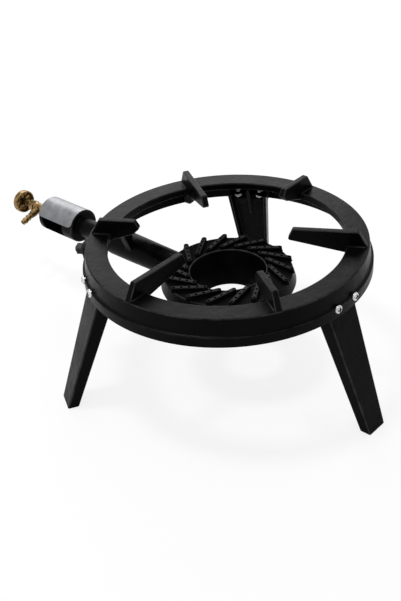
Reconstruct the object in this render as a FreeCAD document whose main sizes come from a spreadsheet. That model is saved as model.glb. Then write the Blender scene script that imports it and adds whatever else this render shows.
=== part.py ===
import FreeCAD, Part
import math
import os
import re
import Sketcher

# Cast iron boiling ring for bottled gas: a round pot ring with six prongs on three
# channel legs, a ring burner with swirled ported bars, its mixing tube with an air
# shutter, and a brass needle valve with a handwheel and a hose nozzle.
# Frame: the floor is Z = 0, the pot ring's axis is Z, and the mixing tube lies along -X.
# Lengths are in millimetres and angles in degrees.

SIZES = {
    # pot ring, an angle section turned about Z
    "ring_radius": 200.0,        # outer edge of the top face
    "ring_top": 215.0,           # height of the top face
    "ring_width": 31.5,
    "plate_wall": 5.0,
    "lip_depth": 10.5,
    "lip_wall": 5.0,
    "band_depth": 23.7,          # top face down to the ledge
    "band_flare": 2.7,           # how far the upper band leans out
    "ledge_drop": 1.2,
    "skirt_step": 6.0,           # lower band, plumb for the bolt heads
    "skirt_depth": 40.0,
    "skirt_wall": 4.2,
    "skirt_lean": 6.0,           # draught of the inner side of the wall
    "ring_edge_round": 1.8,
    # prongs, three long and three short, in turn; set back from the top face's edges
    "prong_count": 3.0,
    "prong_turn": 30.0,
    "prong_thick": 9.0,
    "prong_height": 22.5,
    "prong_top_set": 15.0,
    "prong_foot_set": 1.6,
    "prong_sink": 0.5,
    "prong_root_set": 2.5,
    "long_reach": 74.5,          # from the ring's opening inward
    "long_nose_reach": 81.9,
    "long_nose_drop": 16.5,
    "short_reach": 37.0,
    "short_nose_reach": 43.5,
    "short_nose_drop": 11.5,
    "short_heel_reach": 34.5,
    "short_heel_drop": 20.5,
    "prong_round": 3.0,
    # legs, cast channels open to the inside
    "leg_count": 3.0,
    "foot_spread": 55.0,         # how far the feet stand outside the lower band
    "leg_set": 13.5,             # the web's outer face inside it, at the channel's top
    "leg_top_drop": 23.0,
    "foot_half": 17.5,
    "leg_top_half": 30.0,
    "foot_depth": 16.5,
    "leg_top_depth": 24.0,
    "leg_web": 5.2,
    "leg_flange": 4.5,
    "leg_round": 2.0,
    "hollow_run": 20.0,          # how far a cut runs past the face it opens
    "saddle_set": 14.2,          # inner face of the curved pad bolted to the ring's wall
    "saddle_drop": 12.0,
    "saddle_spread": 17.0,
    "seat_gap": 0.3,
    "nut_room": 11.0,            # below the bolts, where the web is cleared for the nuts
    "nut_spread": 15.0,
    "gusset_thick": 5.0,
    "gusset_foot": 70.0,
    "gusset_drop": 16.0,
    "gusset_reach": 17.3,
    # leg bolts, M6 pan heads with nuts and washers inside
    "bolt_drop": 27.0,           # from the ring's top face
    "leg_bolt_spread": 5.2,      # half angle between a leg's two bolts
    "leg_bolt_radius": 3.0,
    "leg_hole_radius": 3.3,
    "leg_head_radius": 6.2,
    "leg_head_depth": 4.0,
    "recess_long": 6.4,
    "recess_wide": 1.3,
    "recess_depth": 2.2,
    "leg_washer_radius": 6.0,
    "leg_washer_thick": 1.6,
    "washer_gap": 0.2,
    "leg_nut_flats": 10.0,
    "leg_nut_depth": 5.0,
    "bolt_end": 2.4,             # thread that stands out of a nut
    "thread_play": 0.05,
    # lugs and bolts that hold the burner's yoke
    "yoke_spread": 31.0,
    "lug_proud": 5.5,
    "lug_half": 13.0,
    "yoke_hole_radius": 5.3,
    "yoke_bolt_radius": 5.0,
    "yoke_washer_radius": 10.0,
    "yoke_washer_thick": 2.0,
    "yoke_nut_flats": 16.0,
    "yoke_nut_depth": 8.4,
    "yoke_head_depth": 6.4,
    "yoke_bolt_end": 2.5,
    # burner head, a hollow ring; heights from the mixing tube's axis
    "head_bore": 38.0,
    "head_flare": 19.5,          # how far the bore opens towards the top
    "head_width": 35.5,          # of the flat top
    "waist_out": 5.0,
    "base_in": 9.0,
    "head_rise": 31.0,
    "waist_rise": 14.0,
    "head_drop": 21.0,
    "head_wall": 4.5,
    "head_round": 2.5,
    # bars with drilled ports, turned off the radius
    "bar_count": 18.0,
    "bar_turn": 13.0,
    "bar_swirl": 24.5,
    "bar_inset": 3.0,
    "bar_outset": 4.4,
    "bar_half": 3.5,
    "bar_rise": 6.0,
    "port_count": 5.0,
    "port_radius": 1.4,
    # mixing tube and air chamber, lengths outward along the tube
    "tube_turn": 180.0,
    "tube_height": 132.0,
    "tube_inner_radius": 20.5,
    "tube_outer_radius": 22.0,
    "tube_past_ring": 26.0,
    "venturi_length": 56.0,
    "throat_length": 8.0,
    "throat_radius": 15.5,
    "shoulder_length": 11.0,
    "chamber_radius": 27.0,
    "chamber_length": 83.0,
    "chamber_wall": 3.5,
    "chamber_round": 3.0,
    "end_wall": 8.0,
    "boss_radius": 11.5,
    "boss_length": 9.0,
    "bore_radius": 16.5,
    "throat_bore": 11.5,
    "window_inner_bar": 27.0,
    "window_outer_bar": 9.0,
    "window_low": 19.0,
    "window_high": 11.0,
    # yoke that carries the burner under the ring
    "yoke_set": 15.5,
    "yoke_half": 8.5,
    "yoke_arc": 74.0,
    "post_set": 9.5,
    "post_length": 12.0,
    "post_foot_half": 18.0,
    "post_half": 32.0,
    # air shutter, a sprung shell round the chamber
    "shutter_gap": 0.3,
    "shutter_wall": 1.0,
    "shutter_inner_bar": 4.0,
    "shutter_outer_bar": 1.5,
    "shutter_arc": 190.0,
    "shutter_near": 15.5,
    # needle valve, lengths along the tube
    "valve_roll": 16.0,
    "valve_thread_radius": 7.0,
    "valve_shank": 15.0,
    "valve_collar_radius": 9.5,
    "valve_collar_thick": 3.0,
    "valve_collar_slope": 1.5,
    "valve_body_radius": 8.0,
    "valve_body_length": 29.0,
    "valve_neck_radius": 6.6,
    "valve_neck_length": 7.0,
    "valve_seat_set": 12.0,
    "valve_room_radius": 4.7,
    "valve_way_radius": 2.2,
    "branch_set": 20.5,
    "branch_radius": 6.4,
    "branch_face": 15.0,
    "branch_depth": 6.0,
    "jet_nose": 3.0,
    "jet_flats": 8.0,
    "jet_hex_depth": 4.0,
    "jet_thread_radius": 3.4,
    "jet_thread_depth": 6.0,
    "jet_hole_radius": 0.7,
    "nozzle_thread_radius": 4.6,
    "nozzle_collar_radius": 6.2,
    "nozzle_collar_thick": 3.0,
    "nozzle_root_radius": 4.3,
    "nozzle_crest_radius": 5.4,
    "nozzle_pitch": 7.0,
    "nozzle_land": 1.6,
    "nozzle_neck": 2.0,
    "nozzle_bore": 2.8,
    "gland_flats": 17.0,
    "gland_length": 10.5,
    "packing_thick": 4.0,
    "packing_play": 0.05,
    "spindle_radius": 3.0,
    "spindle_play": 0.06,
    "spindle_set": 2.6,          # from the seat, with the disc between
    "seat_disc_radius": 3.8,
    "seat_disc_thick": 2.0,
    "wheel_clear": 16.5,         # from the gland nut to the wheel's front edge
    "wheel_depth": 12.0,
    "wheel_radius": 19.3,
    "wheel_rim_wall": 3.0,
    "wheel_web": 3.2,
    "wheel_hub_radius": 5.5,
    "wheel_hub_proud": 6.0,
    "spoke_count": 5.0,
    "spoke_half": 2.3,
    "wheel_nut_flats": 8.0,
    "wheel_nut_depth": 3.6,
    "wheel_nut_bore": 2.4,
}

# Places and radii that follow from the sizes above, so that the pieces keep together.
TIES = {
    "rim_radius": "ring_radius - ring_width",
    "skirt_radius": "ring_radius + skirt_step",
    "prong_outer": "ring_radius - prong_top_set",
    "prong_foot": "ring_radius - prong_foot_set",
    "prong_root": "rim_radius + prong_root_set",
    "foot_radius": "skirt_radius + foot_spread",
    "leg_top_radius": "skirt_radius - leg_set",
    "leg_top": "ring_top - leg_top_drop",
    "saddle_inner": "skirt_radius - saddle_set",
    "saddle_top": "ring_top - saddle_drop",
    "bolt_height": "ring_top - bolt_drop",
    "washer_face": "saddle_inner - washer_gap - leg_washer_thick",
    "lug_face": "skirt_radius + lug_proud",
    "head_rim": "head_bore + head_flare",
    "head_edge": "head_rim + head_width",
    "head_waist": "head_edge + waist_out",
    "head_base": "head_edge - base_in",
    "head_top": "tube_height + head_rise",
    "waist_height": "tube_height + waist_rise",
    "head_floor": "tube_height - head_drop",
    "bar_inner": "head_rim + bar_inset",
    "bar_outer": "head_edge - bar_outset",
    "tube_start": "head_rim + head_wall * 2",
    "tube_wide": "skirt_radius + tube_past_ring",
    "throat_start": "tube_wide + venturi_length",
    "throat_end": "throat_start + throat_length",
    "shoulder": "throat_end + shoulder_length",
    "chamber_end": "shoulder + chamber_length",
    "boss_end": "chamber_end + boss_length",
    "window_start": "shoulder + window_inner_bar",
    "window_end": "chamber_end - window_outer_bar",
    "shutter_start": "shoulder + shutter_inner_bar",
    "shutter_end": "chamber_end - shutter_outer_bar",
    "yoke_inner": "skirt_radius - yoke_set",
    "yoke_low": "bolt_height - yoke_half",
    "yoke_high": "bolt_height + yoke_half",
    "post_start": "yoke_inner - post_set",
    "post_end": "post_start + post_length",
    "valve_shank_start": "boss_end - valve_shank",
    "valve_body_end": "boss_end + valve_body_length",
    "valve_neck_end": "valve_body_end + valve_neck_length",
    "valve_seat": "boss_end + valve_seat_set",
    "branch_place": "boss_end + branch_set",
    "jet_hex_start": "valve_shank_start - jet_hex_depth",
    "jet_start": "jet_hex_start - jet_nose",
    "gland_start": "valve_body_end + seat_gap",
    "gland_end": "gland_start + gland_length",
    "spindle_start": "valve_seat + spindle_set",
    "wheel_front": "gland_end + wheel_clear",
    "wheel_back": "wheel_front + wheel_depth",
    "wheel_hub_start": "wheel_front - wheel_hub_proud",
}

doc = FreeCAD.newDocument("boiling_ring")


def tie(text):
    """Turn the size names in a formula into references to the sheet."""
    def named(match):
        word = match.group(0)
        if word in TIES:
            return "(%s)" % tie(TIES[word])
        return "Sizes." + word if word in SIZES else word
    return re.sub(r"[A-Za-z_][A-Za-z0-9_]*", named, text)


def make_sheet():
    """One row per size: its name and its value."""
    sheet = doc.addObject("Spreadsheet::Sheet", "Sizes")
    for row, (alias, value) in enumerate(SIZES.items(), start=1):
        sheet.set("A%d" % row, alias)
        sheet.set("B%d" % row, str(value))
        sheet.setAlias("B%d" % row, alias)
    doc.recompute()
    return sheet


def make_body(label, turned=False, raised=False):
    """A body in the ring's frame, or turned to the tube and raised to its axis."""
    body = doc.addObject("PartDesign::Body", label)
    body.Label = label
    if turned:
        body.Placement = FreeCAD.Placement(
            FreeCAD.Vector(0, 0, 0), FreeCAD.Rotation(FreeCAD.Vector(0, 0, 1), 180))
        body.setExpression("Placement.Rotation.Angle", tie("tube_turn"))
    if raised:
        body.setExpression("Placement.Base.z", tie("tube_height"))
    return body


def origin_part(body, role):
    """A plane or an axis of the body's own origin."""
    for feature in body.Origin.OriginFeatures:
        if feature.Role == role:
            return feature
    raise ValueError(role)


def make_sketch(body, name, plane, lift=None, up=None, turn=None):
    """A sketch on an origin plane, moved along its normal or its Y, or turned about Z."""
    sketch = body.newObject("Sketcher::SketchObject", name)
    sketch.AttachmentSupport = (origin_part(body, plane), [""])
    sketch.MapMode = "FlatFace"
    if turn is not None:
        sketch.AttachmentOffset = FreeCAD.Placement(
            FreeCAD.Vector(0, 0, 0), FreeCAD.Rotation(FreeCAD.Vector(0, 1, 0), 10))
        sketch.setExpression("AttachmentOffset.Rotation.Angle", tie(turn))
    if lift is not None and turn is not None:
        sketch.setExpression("AttachmentOffset.Base.x", tie("(%s) * sin(%s)" % (lift, turn)))
        sketch.setExpression("AttachmentOffset.Base.z", tie("(%s) * cos(%s)" % (lift, turn)))
    elif lift is not None:
        sketch.setExpression("AttachmentOffset.Base.z", tie(lift))
    if up is not None:
        sketch.setExpression("AttachmentOffset.Base.y", tie(up))
    return sketch


def pin_point(sketch, geometry, point, x_text, y_text, start=(1.0, 1.0)):
    """Fix one point of the sketch by its two coordinates, from a starting place."""
    for kind, axis, text, value in (("DistanceX", -2, x_text, start[0]),
                                    ("DistanceY", -1, y_text, start[1])):
        if text == "0":
            sketch.addConstraint(Sketcher.Constraint("PointOnObject", geometry, point, axis))
            continue
        row = sketch.addConstraint(Sketcher.Constraint(kind, -1, 1, geometry, point, value))
        sketch.setExpression("Constraints[%d]" % row, tie(text))


def draw_outline(sketch, points):
    """A closed outline of straight lines through the given points."""
    count = len(points)
    first = sketch.GeometryCount
    spots = []
    for index in range(count):
        angle = 2.0 * math.pi * index / count
        spots.append(FreeCAD.Vector(90 + 40 * math.cos(angle), 90 + 40 * math.sin(angle), 0))
    for index in range(count):
        sketch.addGeometry(Part.LineSegment(spots[index], spots[(index + 1) % count]))
    for index in range(count):
        after = first + (index + 1) % count
        sketch.addConstraint(Sketcher.Constraint("Coincident", first + index, 2, after, 1))
    for index, (x_text, y_text) in enumerate(points):
        pin_point(sketch, first + index, 1, x_text, y_text)


def draw_circle(sketch, x_text, y_text, radius_text):
    """A circle by its centre and radius."""
    index = sketch.addGeometry(
        Part.Circle(FreeCAD.Vector(5, 5, 0), FreeCAD.Vector(0, 0, 1), 3))
    if x_text == "0" and y_text == "0":
        sketch.addConstraint(Sketcher.Constraint("Coincident", index, 3, -1, 1))
    else:
        pin_point(sketch, index, 3, x_text, y_text)
    row = sketch.addConstraint(Sketcher.Constraint("Radius", index, 3.0))
    sketch.setExpression("Constraints[%d]" % row, tie(radius_text))


def draw_hexagon(sketch, flats_text):
    """A hexagon about the origin, by the distance across its flats."""
    points = []
    for index in range(6):
        points.append(("%s / 2 / cos(30) * cos(%d)" % (flats_text, 60 * index + 30),
                       "%s / 2 / cos(30) * sin(%d)" % (flats_text, 60 * index + 30)))
    draw_outline(sketch, [(x, "0") if abs(math.sin(math.radians(60 * i + 30))) < 1e-9
                          else ("0", y) if abs(math.cos(math.radians(60 * i + 30))) < 1e-9
                          else (x, y) for i, (x, y) in enumerate(points)])


def turn_profile(body, name, sketch, axis, arc=None, cut=False):
    """Turn a profile about an axis of its sketch, right round or by an arc."""
    kind = "PartDesign::Groove" if cut else "PartDesign::Revolution"
    before = body.Shape.Volume if cut else 0.0
    feature = body.newObject(kind, name)
    feature.Profile = sketch
    feature.ReferenceAxis = (sketch, [axis])
    feature.Angle = 360.0
    if arc is not None:
        feature.Midplane = True
        feature.setExpression("Angle", tie(arc))
    sketch.Visibility = False
    doc.recompute()
    if cut and not body.Shape.Volume < before - 1e-6:
        raise ValueError("%s cut nothing" % name)
    return feature


def pad(body, name, sketch, length, midplane=False, reverse=False):
    """Pad a sketch by a length from the sheet."""
    feature = body.newObject("PartDesign::Pad", name)
    feature.Profile = sketch
    feature.Midplane = midplane
    feature.Reversed = reverse
    feature.setExpression("Length", tie(length))
    sketch.Visibility = False
    doc.recompute()
    return feature


def pocket(body, name, sketch, length=None, midplane=False, reverse=False):
    """Cut a sketch to a depth, or through everything, and see that it cut."""
    before = body.Shape.Volume
    feature = body.newObject("PartDesign::Pocket", name)
    feature.Profile = sketch
    feature.Midplane = midplane
    feature.Reversed = reverse
    if length is None:
        feature.Type = "ThroughAll"
    else:
        feature.setExpression("Length", tie(length))
    sketch.Visibility = False
    doc.recompute()
    if not body.Shape.Volume < before - 1e-6:
        raise ValueError("%s cut nothing" % name)
    return feature


def ring_pattern(body, name, features, count, axis="Z_Axis"):
    """Repeat features evenly round an axis of the body."""
    pattern = body.newObject("PartDesign::PolarPattern", name)
    pattern.Originals = features
    pattern.Axis = (origin_part(body, axis), [""])
    pattern.Angle = 360.0
    pattern.setExpression("Occurrences", tie(count))
    body.Tip = pattern
    doc.recompute()
    return pattern


def mirror(body, name, features, plane):
    """Repeat features on the other side of a plane of the body."""
    mirrored = body.newObject("PartDesign::Mirrored", name)
    mirrored.Originals = features
    mirrored.MirrorPlane = (origin_part(body, plane), [""])
    body.Tip = mirrored
    doc.recompute()
    return mirrored


def round_edges(body, name, radius, chosen):
    """Round the edges of the body for which chosen(edge) is true."""
    base = body.Tip
    names = []
    for index, edge in enumerate(base.Shape.Edges, start=1):
        if chosen(edge):
            names.append("Edge%d" % index)
    if not names:
        raise ValueError("%s finds no edge" % name)
    fillet = body.newObject("PartDesign::Fillet", name)
    fillet.Base = (base, names)
    fillet.setExpression("Radius", tie(radius))
    doc.recompute()
    return fillet


def circle_at(edge, height):
    """Whether an edge is a circle at this height."""
    curve = edge.Curve
    return isinstance(curve, Part.Circle) and abs(curve.Center.z - height) < 0.01


def copies(label, master, turns):
    """A group of equal pieces: the master turned about Z by each angle."""
    links = []
    for index, turn in enumerate(turns, start=1):
        link = doc.addObject("App::Link", "%s_%d" % (label, index))
        link.LinkedObject = master
        link.LinkTransform = False
        link.Placement = FreeCAD.Placement(
            FreeCAD.Vector(0, 0, 0), FreeCAD.Rotation(FreeCAD.Vector(0, 0, 1), 10))
        link.setExpression("Placement.Rotation.Angle", tie(turn))
        links.append(link)
    group = doc.addObject("Part::Compound", label)
    group.Label = label
    group.Links = links
    doc.recompute()
    return group


# The inner side of the ring's wall leans in as it rises; its radius at a height.
def wall_inside(height):
    return ("skirt_radius - skirt_wall - skirt_lean"
            " * (%s - ring_top + skirt_depth) / (skirt_depth - plate_wall)" % height)


def make_pot_ring():
    """Angle section with a ledge and a lip, six prongs, two lugs and the bolt holes."""
    body = make_body("pot_ring")
    section = make_sketch(body, "ring_section", "XZ_Plane")
    draw_outline(section, [
        ("rim_radius", "ring_top"),
        ("ring_radius", "ring_top"),
        ("ring_radius + band_flare", "ring_top - band_depth"),
        ("skirt_radius", "ring_top - band_depth - ledge_drop"),
        ("skirt_radius", "ring_top - skirt_depth"),
        ("skirt_radius - skirt_wall", "ring_top - skirt_depth"),
        (wall_inside("ring_top - plate_wall"), "ring_top - plate_wall"),
        ("rim_radius + lip_wall", "ring_top - plate_wall"),
        ("rim_radius + lip_wall", "ring_top - lip_depth"),
        ("rim_radius", "ring_top - lip_depth"),
    ])
    turn_profile(body, "ring_turned", section, "V_Axis")

    top_face = body.Shape.BoundBox.ZMax
    round_edges(body, "ring_rounds", "ring_edge_round",
                lambda edge: circle_at(edge, top_face))

    top = "ring_top + prong_height"
    low = "ring_top - lip_depth"
    long_shape = make_sketch(body, "long_prong_shape", "XZ_Plane", turn="prong_turn")
    draw_outline(long_shape, [
        ("rim_radius - long_reach", top),
        ("prong_outer", top),
        ("prong_foot", "ring_top - prong_sink"),
        ("prong_foot", low),
        ("prong_root", low),
        ("rim_radius - long_nose_reach", top + " - long_nose_drop"),
    ])
    long_prong = pad(body, "long_prong", long_shape, "prong_thick", midplane=True)
    ring_pattern(body, "long_prongs", [long_prong], "prong_count")
    short_shape = make_sketch(body, "short_prong_shape", "XZ_Plane",
                              turn="prong_turn + 180 / prong_count")
    draw_outline(short_shape, [
        ("rim_radius - short_reach", top),
        ("prong_outer", top),
        ("prong_foot", "ring_top - prong_sink"),
        ("prong_foot", low),
        ("prong_root", low),
        ("rim_radius - short_heel_reach", top + " - short_heel_drop"),
        ("rim_radius - short_nose_reach", top + " - short_nose_drop"),
    ])
    short_prong = pad(body, "short_prong", short_shape, "prong_thick", midplane=True)
    ring_pattern(body, "short_prongs", [short_prong], "prong_count")

    prong_top = body.Shape.BoundBox.ZMax

    def prong_corner(edge):
        heights = [vertex.Point.z for vertex in edge.Vertexes]
        if len(heights) != 2 or min(heights) < prong_top - 0.01:
            return False
        across = (edge.Vertexes[0].Point - edge.Vertexes[1].Point).Length
        return abs(across - SIZES["prong_thick"]) < 0.01
    round_edges(body, "prong_rounds", "prong_round", prong_corner)

    lug = make_sketch(body, "lug_shape", "YZ_Plane",
                      lift="lug_face", turn="tube_turn + yoke_spread")
    draw_outline(lug, [
        ("-lug_half", "bolt_height - lug_half"),
        ("lug_half", "bolt_height - lug_half"),
        ("lug_half", "bolt_height + lug_half"),
        ("-lug_half", "bolt_height + lug_half"),
    ])
    lug_pad = pad(body, "lug", lug, "lug_face - skirt_radius + skirt_wall / 2", reverse=True)
    mirror(body, "lugs", [lug_pad], "XZ_Plane")

    middle = "(ring_radius + rim_radius) / 2"
    for side, turn in (("left", "-leg_bolt_spread"), ("right", "leg_bolt_spread")):
        holes = make_sketch(body, "leg_holes_%s_shape" % side, "YZ_Plane",
                            lift=middle, turn=turn)
        draw_circle(holes, "0", "bolt_height", "leg_hole_radius")
        hole = pocket(body, "leg_hole_" + side, holes, "skirt_radius / 4", reverse=True)
        ring_pattern(body, "leg_holes_" + side, [hole], "leg_count")
    shape = make_sketch(body, "yoke_hole_shape", "YZ_Plane",
                        lift=middle, turn="tube_turn + yoke_spread")
    draw_circle(shape, "0", "bolt_height", "yoke_hole_radius")
    hole = pocket(body, "yoke_hole", shape, "skirt_radius / 4", reverse=True)
    mirror(body, "yoke_holes", [hole], "XZ_Plane")
    return body


def leg_section(body, name, height, outer, inner, half, bevel):
    """A leg's outline at one height, its two outer corners taken off."""
    section = make_sketch(body, name, "XY_Plane", lift=height)
    draw_outline(section, [
        (inner, "-(%s)" % half),
        ("%s - %s" % (outer, bevel), "-(%s)" % half),
        (outer, "%s - (%s)" % (bevel, half)),
        (outer, "(%s) - %s" % (half, bevel)),
        ("%s - %s" % (outer, bevel), half),
        (inner, half),
    ])
    section.Visibility = False
    return section


def make_leg(label, turn):
    """Tapered channel with a curved bolting pad at its top and a rib behind the web."""
    body = make_body(label)
    body.Placement = FreeCAD.Placement(
        FreeCAD.Vector(0, 0, 0), FreeCAD.Rotation(FreeCAD.Vector(0, 0, 1), 10))
    body.setExpression("Placement.Rotation.Angle", tie(turn))
    foot = leg_section(body, "foot_outline", "0", "foot_radius",
                       "foot_radius - foot_depth", "foot_half", "leg_round")
    head = leg_section(body, "head_outline", "leg_top", "leg_top_radius",
                       "leg_top_radius - leg_top_depth", "leg_top_half", "leg_round")
    doc.recompute()
    block = body.newObject("PartDesign::AdditiveLoft", "leg_block")
    block.Profile = foot
    block.Sections = [head]
    block.Ruled = True
    doc.recompute()
    foot_hollow = leg_section(body, "foot_hollow", "0", "foot_radius - leg_web",
                              "foot_radius - foot_depth - hollow_run", "foot_half - leg_flange",
                              "leg_round")
    head_hollow = leg_section(body, "head_hollow", "leg_top", "leg_top_radius - leg_web",
                              "leg_top_radius - leg_top_depth - hollow_run",
                              "leg_top_half - leg_flange", "leg_round")
    doc.recompute()
    channel = body.newObject("PartDesign::SubtractiveLoft", "leg_channel")
    channel.Profile = foot_hollow
    channel.Sections = [head_hollow]
    channel.Ruled = True
    doc.recompute()

    saddle = make_sketch(body, "saddle_shape", "XZ_Plane")
    bottom = "ring_top - skirt_depth"
    draw_outline(saddle, [
        ("saddle_inner", bottom),
        (wall_inside(bottom) + " - seat_gap", bottom),
        (wall_inside("saddle_top") + " - seat_gap", "saddle_top"),
        ("saddle_inner", "saddle_top"),
    ])
    turn_profile(body, "saddle", saddle, "V_Axis", arc="saddle_spread")

    room = make_sketch(body, "nut_room_shape", "XZ_Plane")
    draw_outline(room, [
        ("saddle_inner / 2", "bolt_height - nut_room"),
        ("saddle_inner", "bolt_height - nut_room"),
        ("saddle_inner", "ring_top"),
        ("saddle_inner / 2", "ring_top"),
    ])
    turn_profile(body, "nut_room_cut", room, "V_Axis", arc="nut_spread", cut=True)

    slope = "(foot_radius - leg_top_radius) / leg_top"
    rib = make_sketch(body, "gusset_shape", "XZ_Plane")
    rib_foot = "(bolt_height - gusset_foot)"
    draw_outline(rib, [
        ("foot_radius - %s * %s - leg_web / 2" % (rib_foot, slope), rib_foot),
        ("saddle_inner + leg_web / 2", "bolt_height - nut_room"),
        ("saddle_inner + leg_web / 2", "ring_top - gusset_drop"),
        ("saddle_inner - gusset_reach", "ring_top - gusset_drop"),
    ])
    pad(body, "gusset", rib, "gusset_thick", midplane=True)

    for side, angle in (("left", "-leg_bolt_spread"), ("right", "leg_bolt_spread")):
        shape = make_sketch(body, "bolt_hole_%s_shape" % side, "YZ_Plane",
                            lift="saddle_inner - hollow_run", turn=angle)
        draw_circle(shape, "0", "bolt_height", "leg_hole_radius")
        pocket(body, "bolt_hole_" + side, shape, "hollow_run * 2", reverse=True)
    return body


def radial_piece(name, height):
    """A body whose sketches have the radius along X, at a bolt's height."""
    body = make_body(name)
    return body, make_sketch(body, name + "_section", "XZ_Plane", up=height)


def make_leg_bolts():
    """Pan head, cross recess and shank; x is the distance from the ring's axis."""
    body, section = radial_piece("leg_bolt", "bolt_height")
    tip = "washer_face - leg_nut_depth - bolt_end"
    draw_outline(section, [
        (tip, "0"),
        (tip, "leg_bolt_radius * 0.8"),
        (tip + " + leg_bolt_radius * 0.2", "leg_bolt_radius"),
        ("skirt_radius", "leg_bolt_radius"),
        ("skirt_radius", "leg_head_radius"),
        ("skirt_radius + leg_head_depth * 0.45", "leg_head_radius"),
        ("skirt_radius + leg_head_depth * 0.85", "leg_head_radius * 0.75"),
        ("skirt_radius + leg_head_depth", "leg_head_radius * 0.35"),
        ("skirt_radius + leg_head_depth", "0"),
    ])
    turn_profile(body, "leg_bolt_turned", section, "H_Axis")
    cross = make_sketch(body, "recess_shape", "YZ_Plane",
                        lift="skirt_radius + leg_head_depth", up="bolt_height")
    long, wide = "recess_long / 2", "recess_wide / 2"
    draw_outline(cross, [
        ("-" + long, "-" + wide), ("-" + wide, "-" + wide), ("-" + wide, "-" + long),
        (wide, "-" + long), (wide, "-" + wide), (long, "-" + wide),
        (long, wide), (wide, wide), (wide, long),
        ("-" + wide, long), ("-" + wide, wide), ("-" + long, wide),
    ])
    pocket(body, "recess", cross, "recess_depth")
    return body


def make_ring_washer(name, height, low, thick, hole, radius):
    """A flat washer on a radial bolt, from its inner face outward."""
    body, section = radial_piece(name, height)
    draw_outline(section, [
        (low, hole),
        ("%s + %s" % (low, thick), hole),
        ("%s + %s" % (low, thick), radius),
        (low, radius),
    ])
    turn_profile(body, name + "_turned", section, "H_Axis")
    return body


def make_ring_nut(name, height, low, depth, flats, hole):
    """A hexagon nut on a radial bolt with its corners turned off on both sides."""
    body = make_body(name)
    shape = make_sketch(body, name + "_hexagon", "YZ_Plane", lift=low, up=height)
    draw_hexagon(shape, flats)
    draw_circle(shape, "0", "0", hole)
    pad(body, name + "_prism", shape, depth)
    corner = make_sketch(body, name + "_corner", "XZ_Plane", up=height)
    end = "%s + %s" % (low, depth)
    draw_outline(corner, [
        (end + " - %s * 0.08" % flats, flats + " * 0.6"),
        (end + " + %s * 0.02" % flats, flats + " * 0.45"),
        (end + " + %s * 0.02" % flats, flats + " * 0.6"),
    ])
    turn_profile(body, name + "_chamfer", corner, "H_Axis", cut=True)
    return body


def leg_bolt_turns():
    """The six angles of the leg bolts, two to a leg."""
    turns = []
    for leg in range(int(SIZES["leg_count"])):
        turns.append("%d * 360 / leg_count - leg_bolt_spread" % leg)
        turns.append("%d * 360 / leg_count + leg_bolt_spread" % leg)
    return turns


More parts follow.
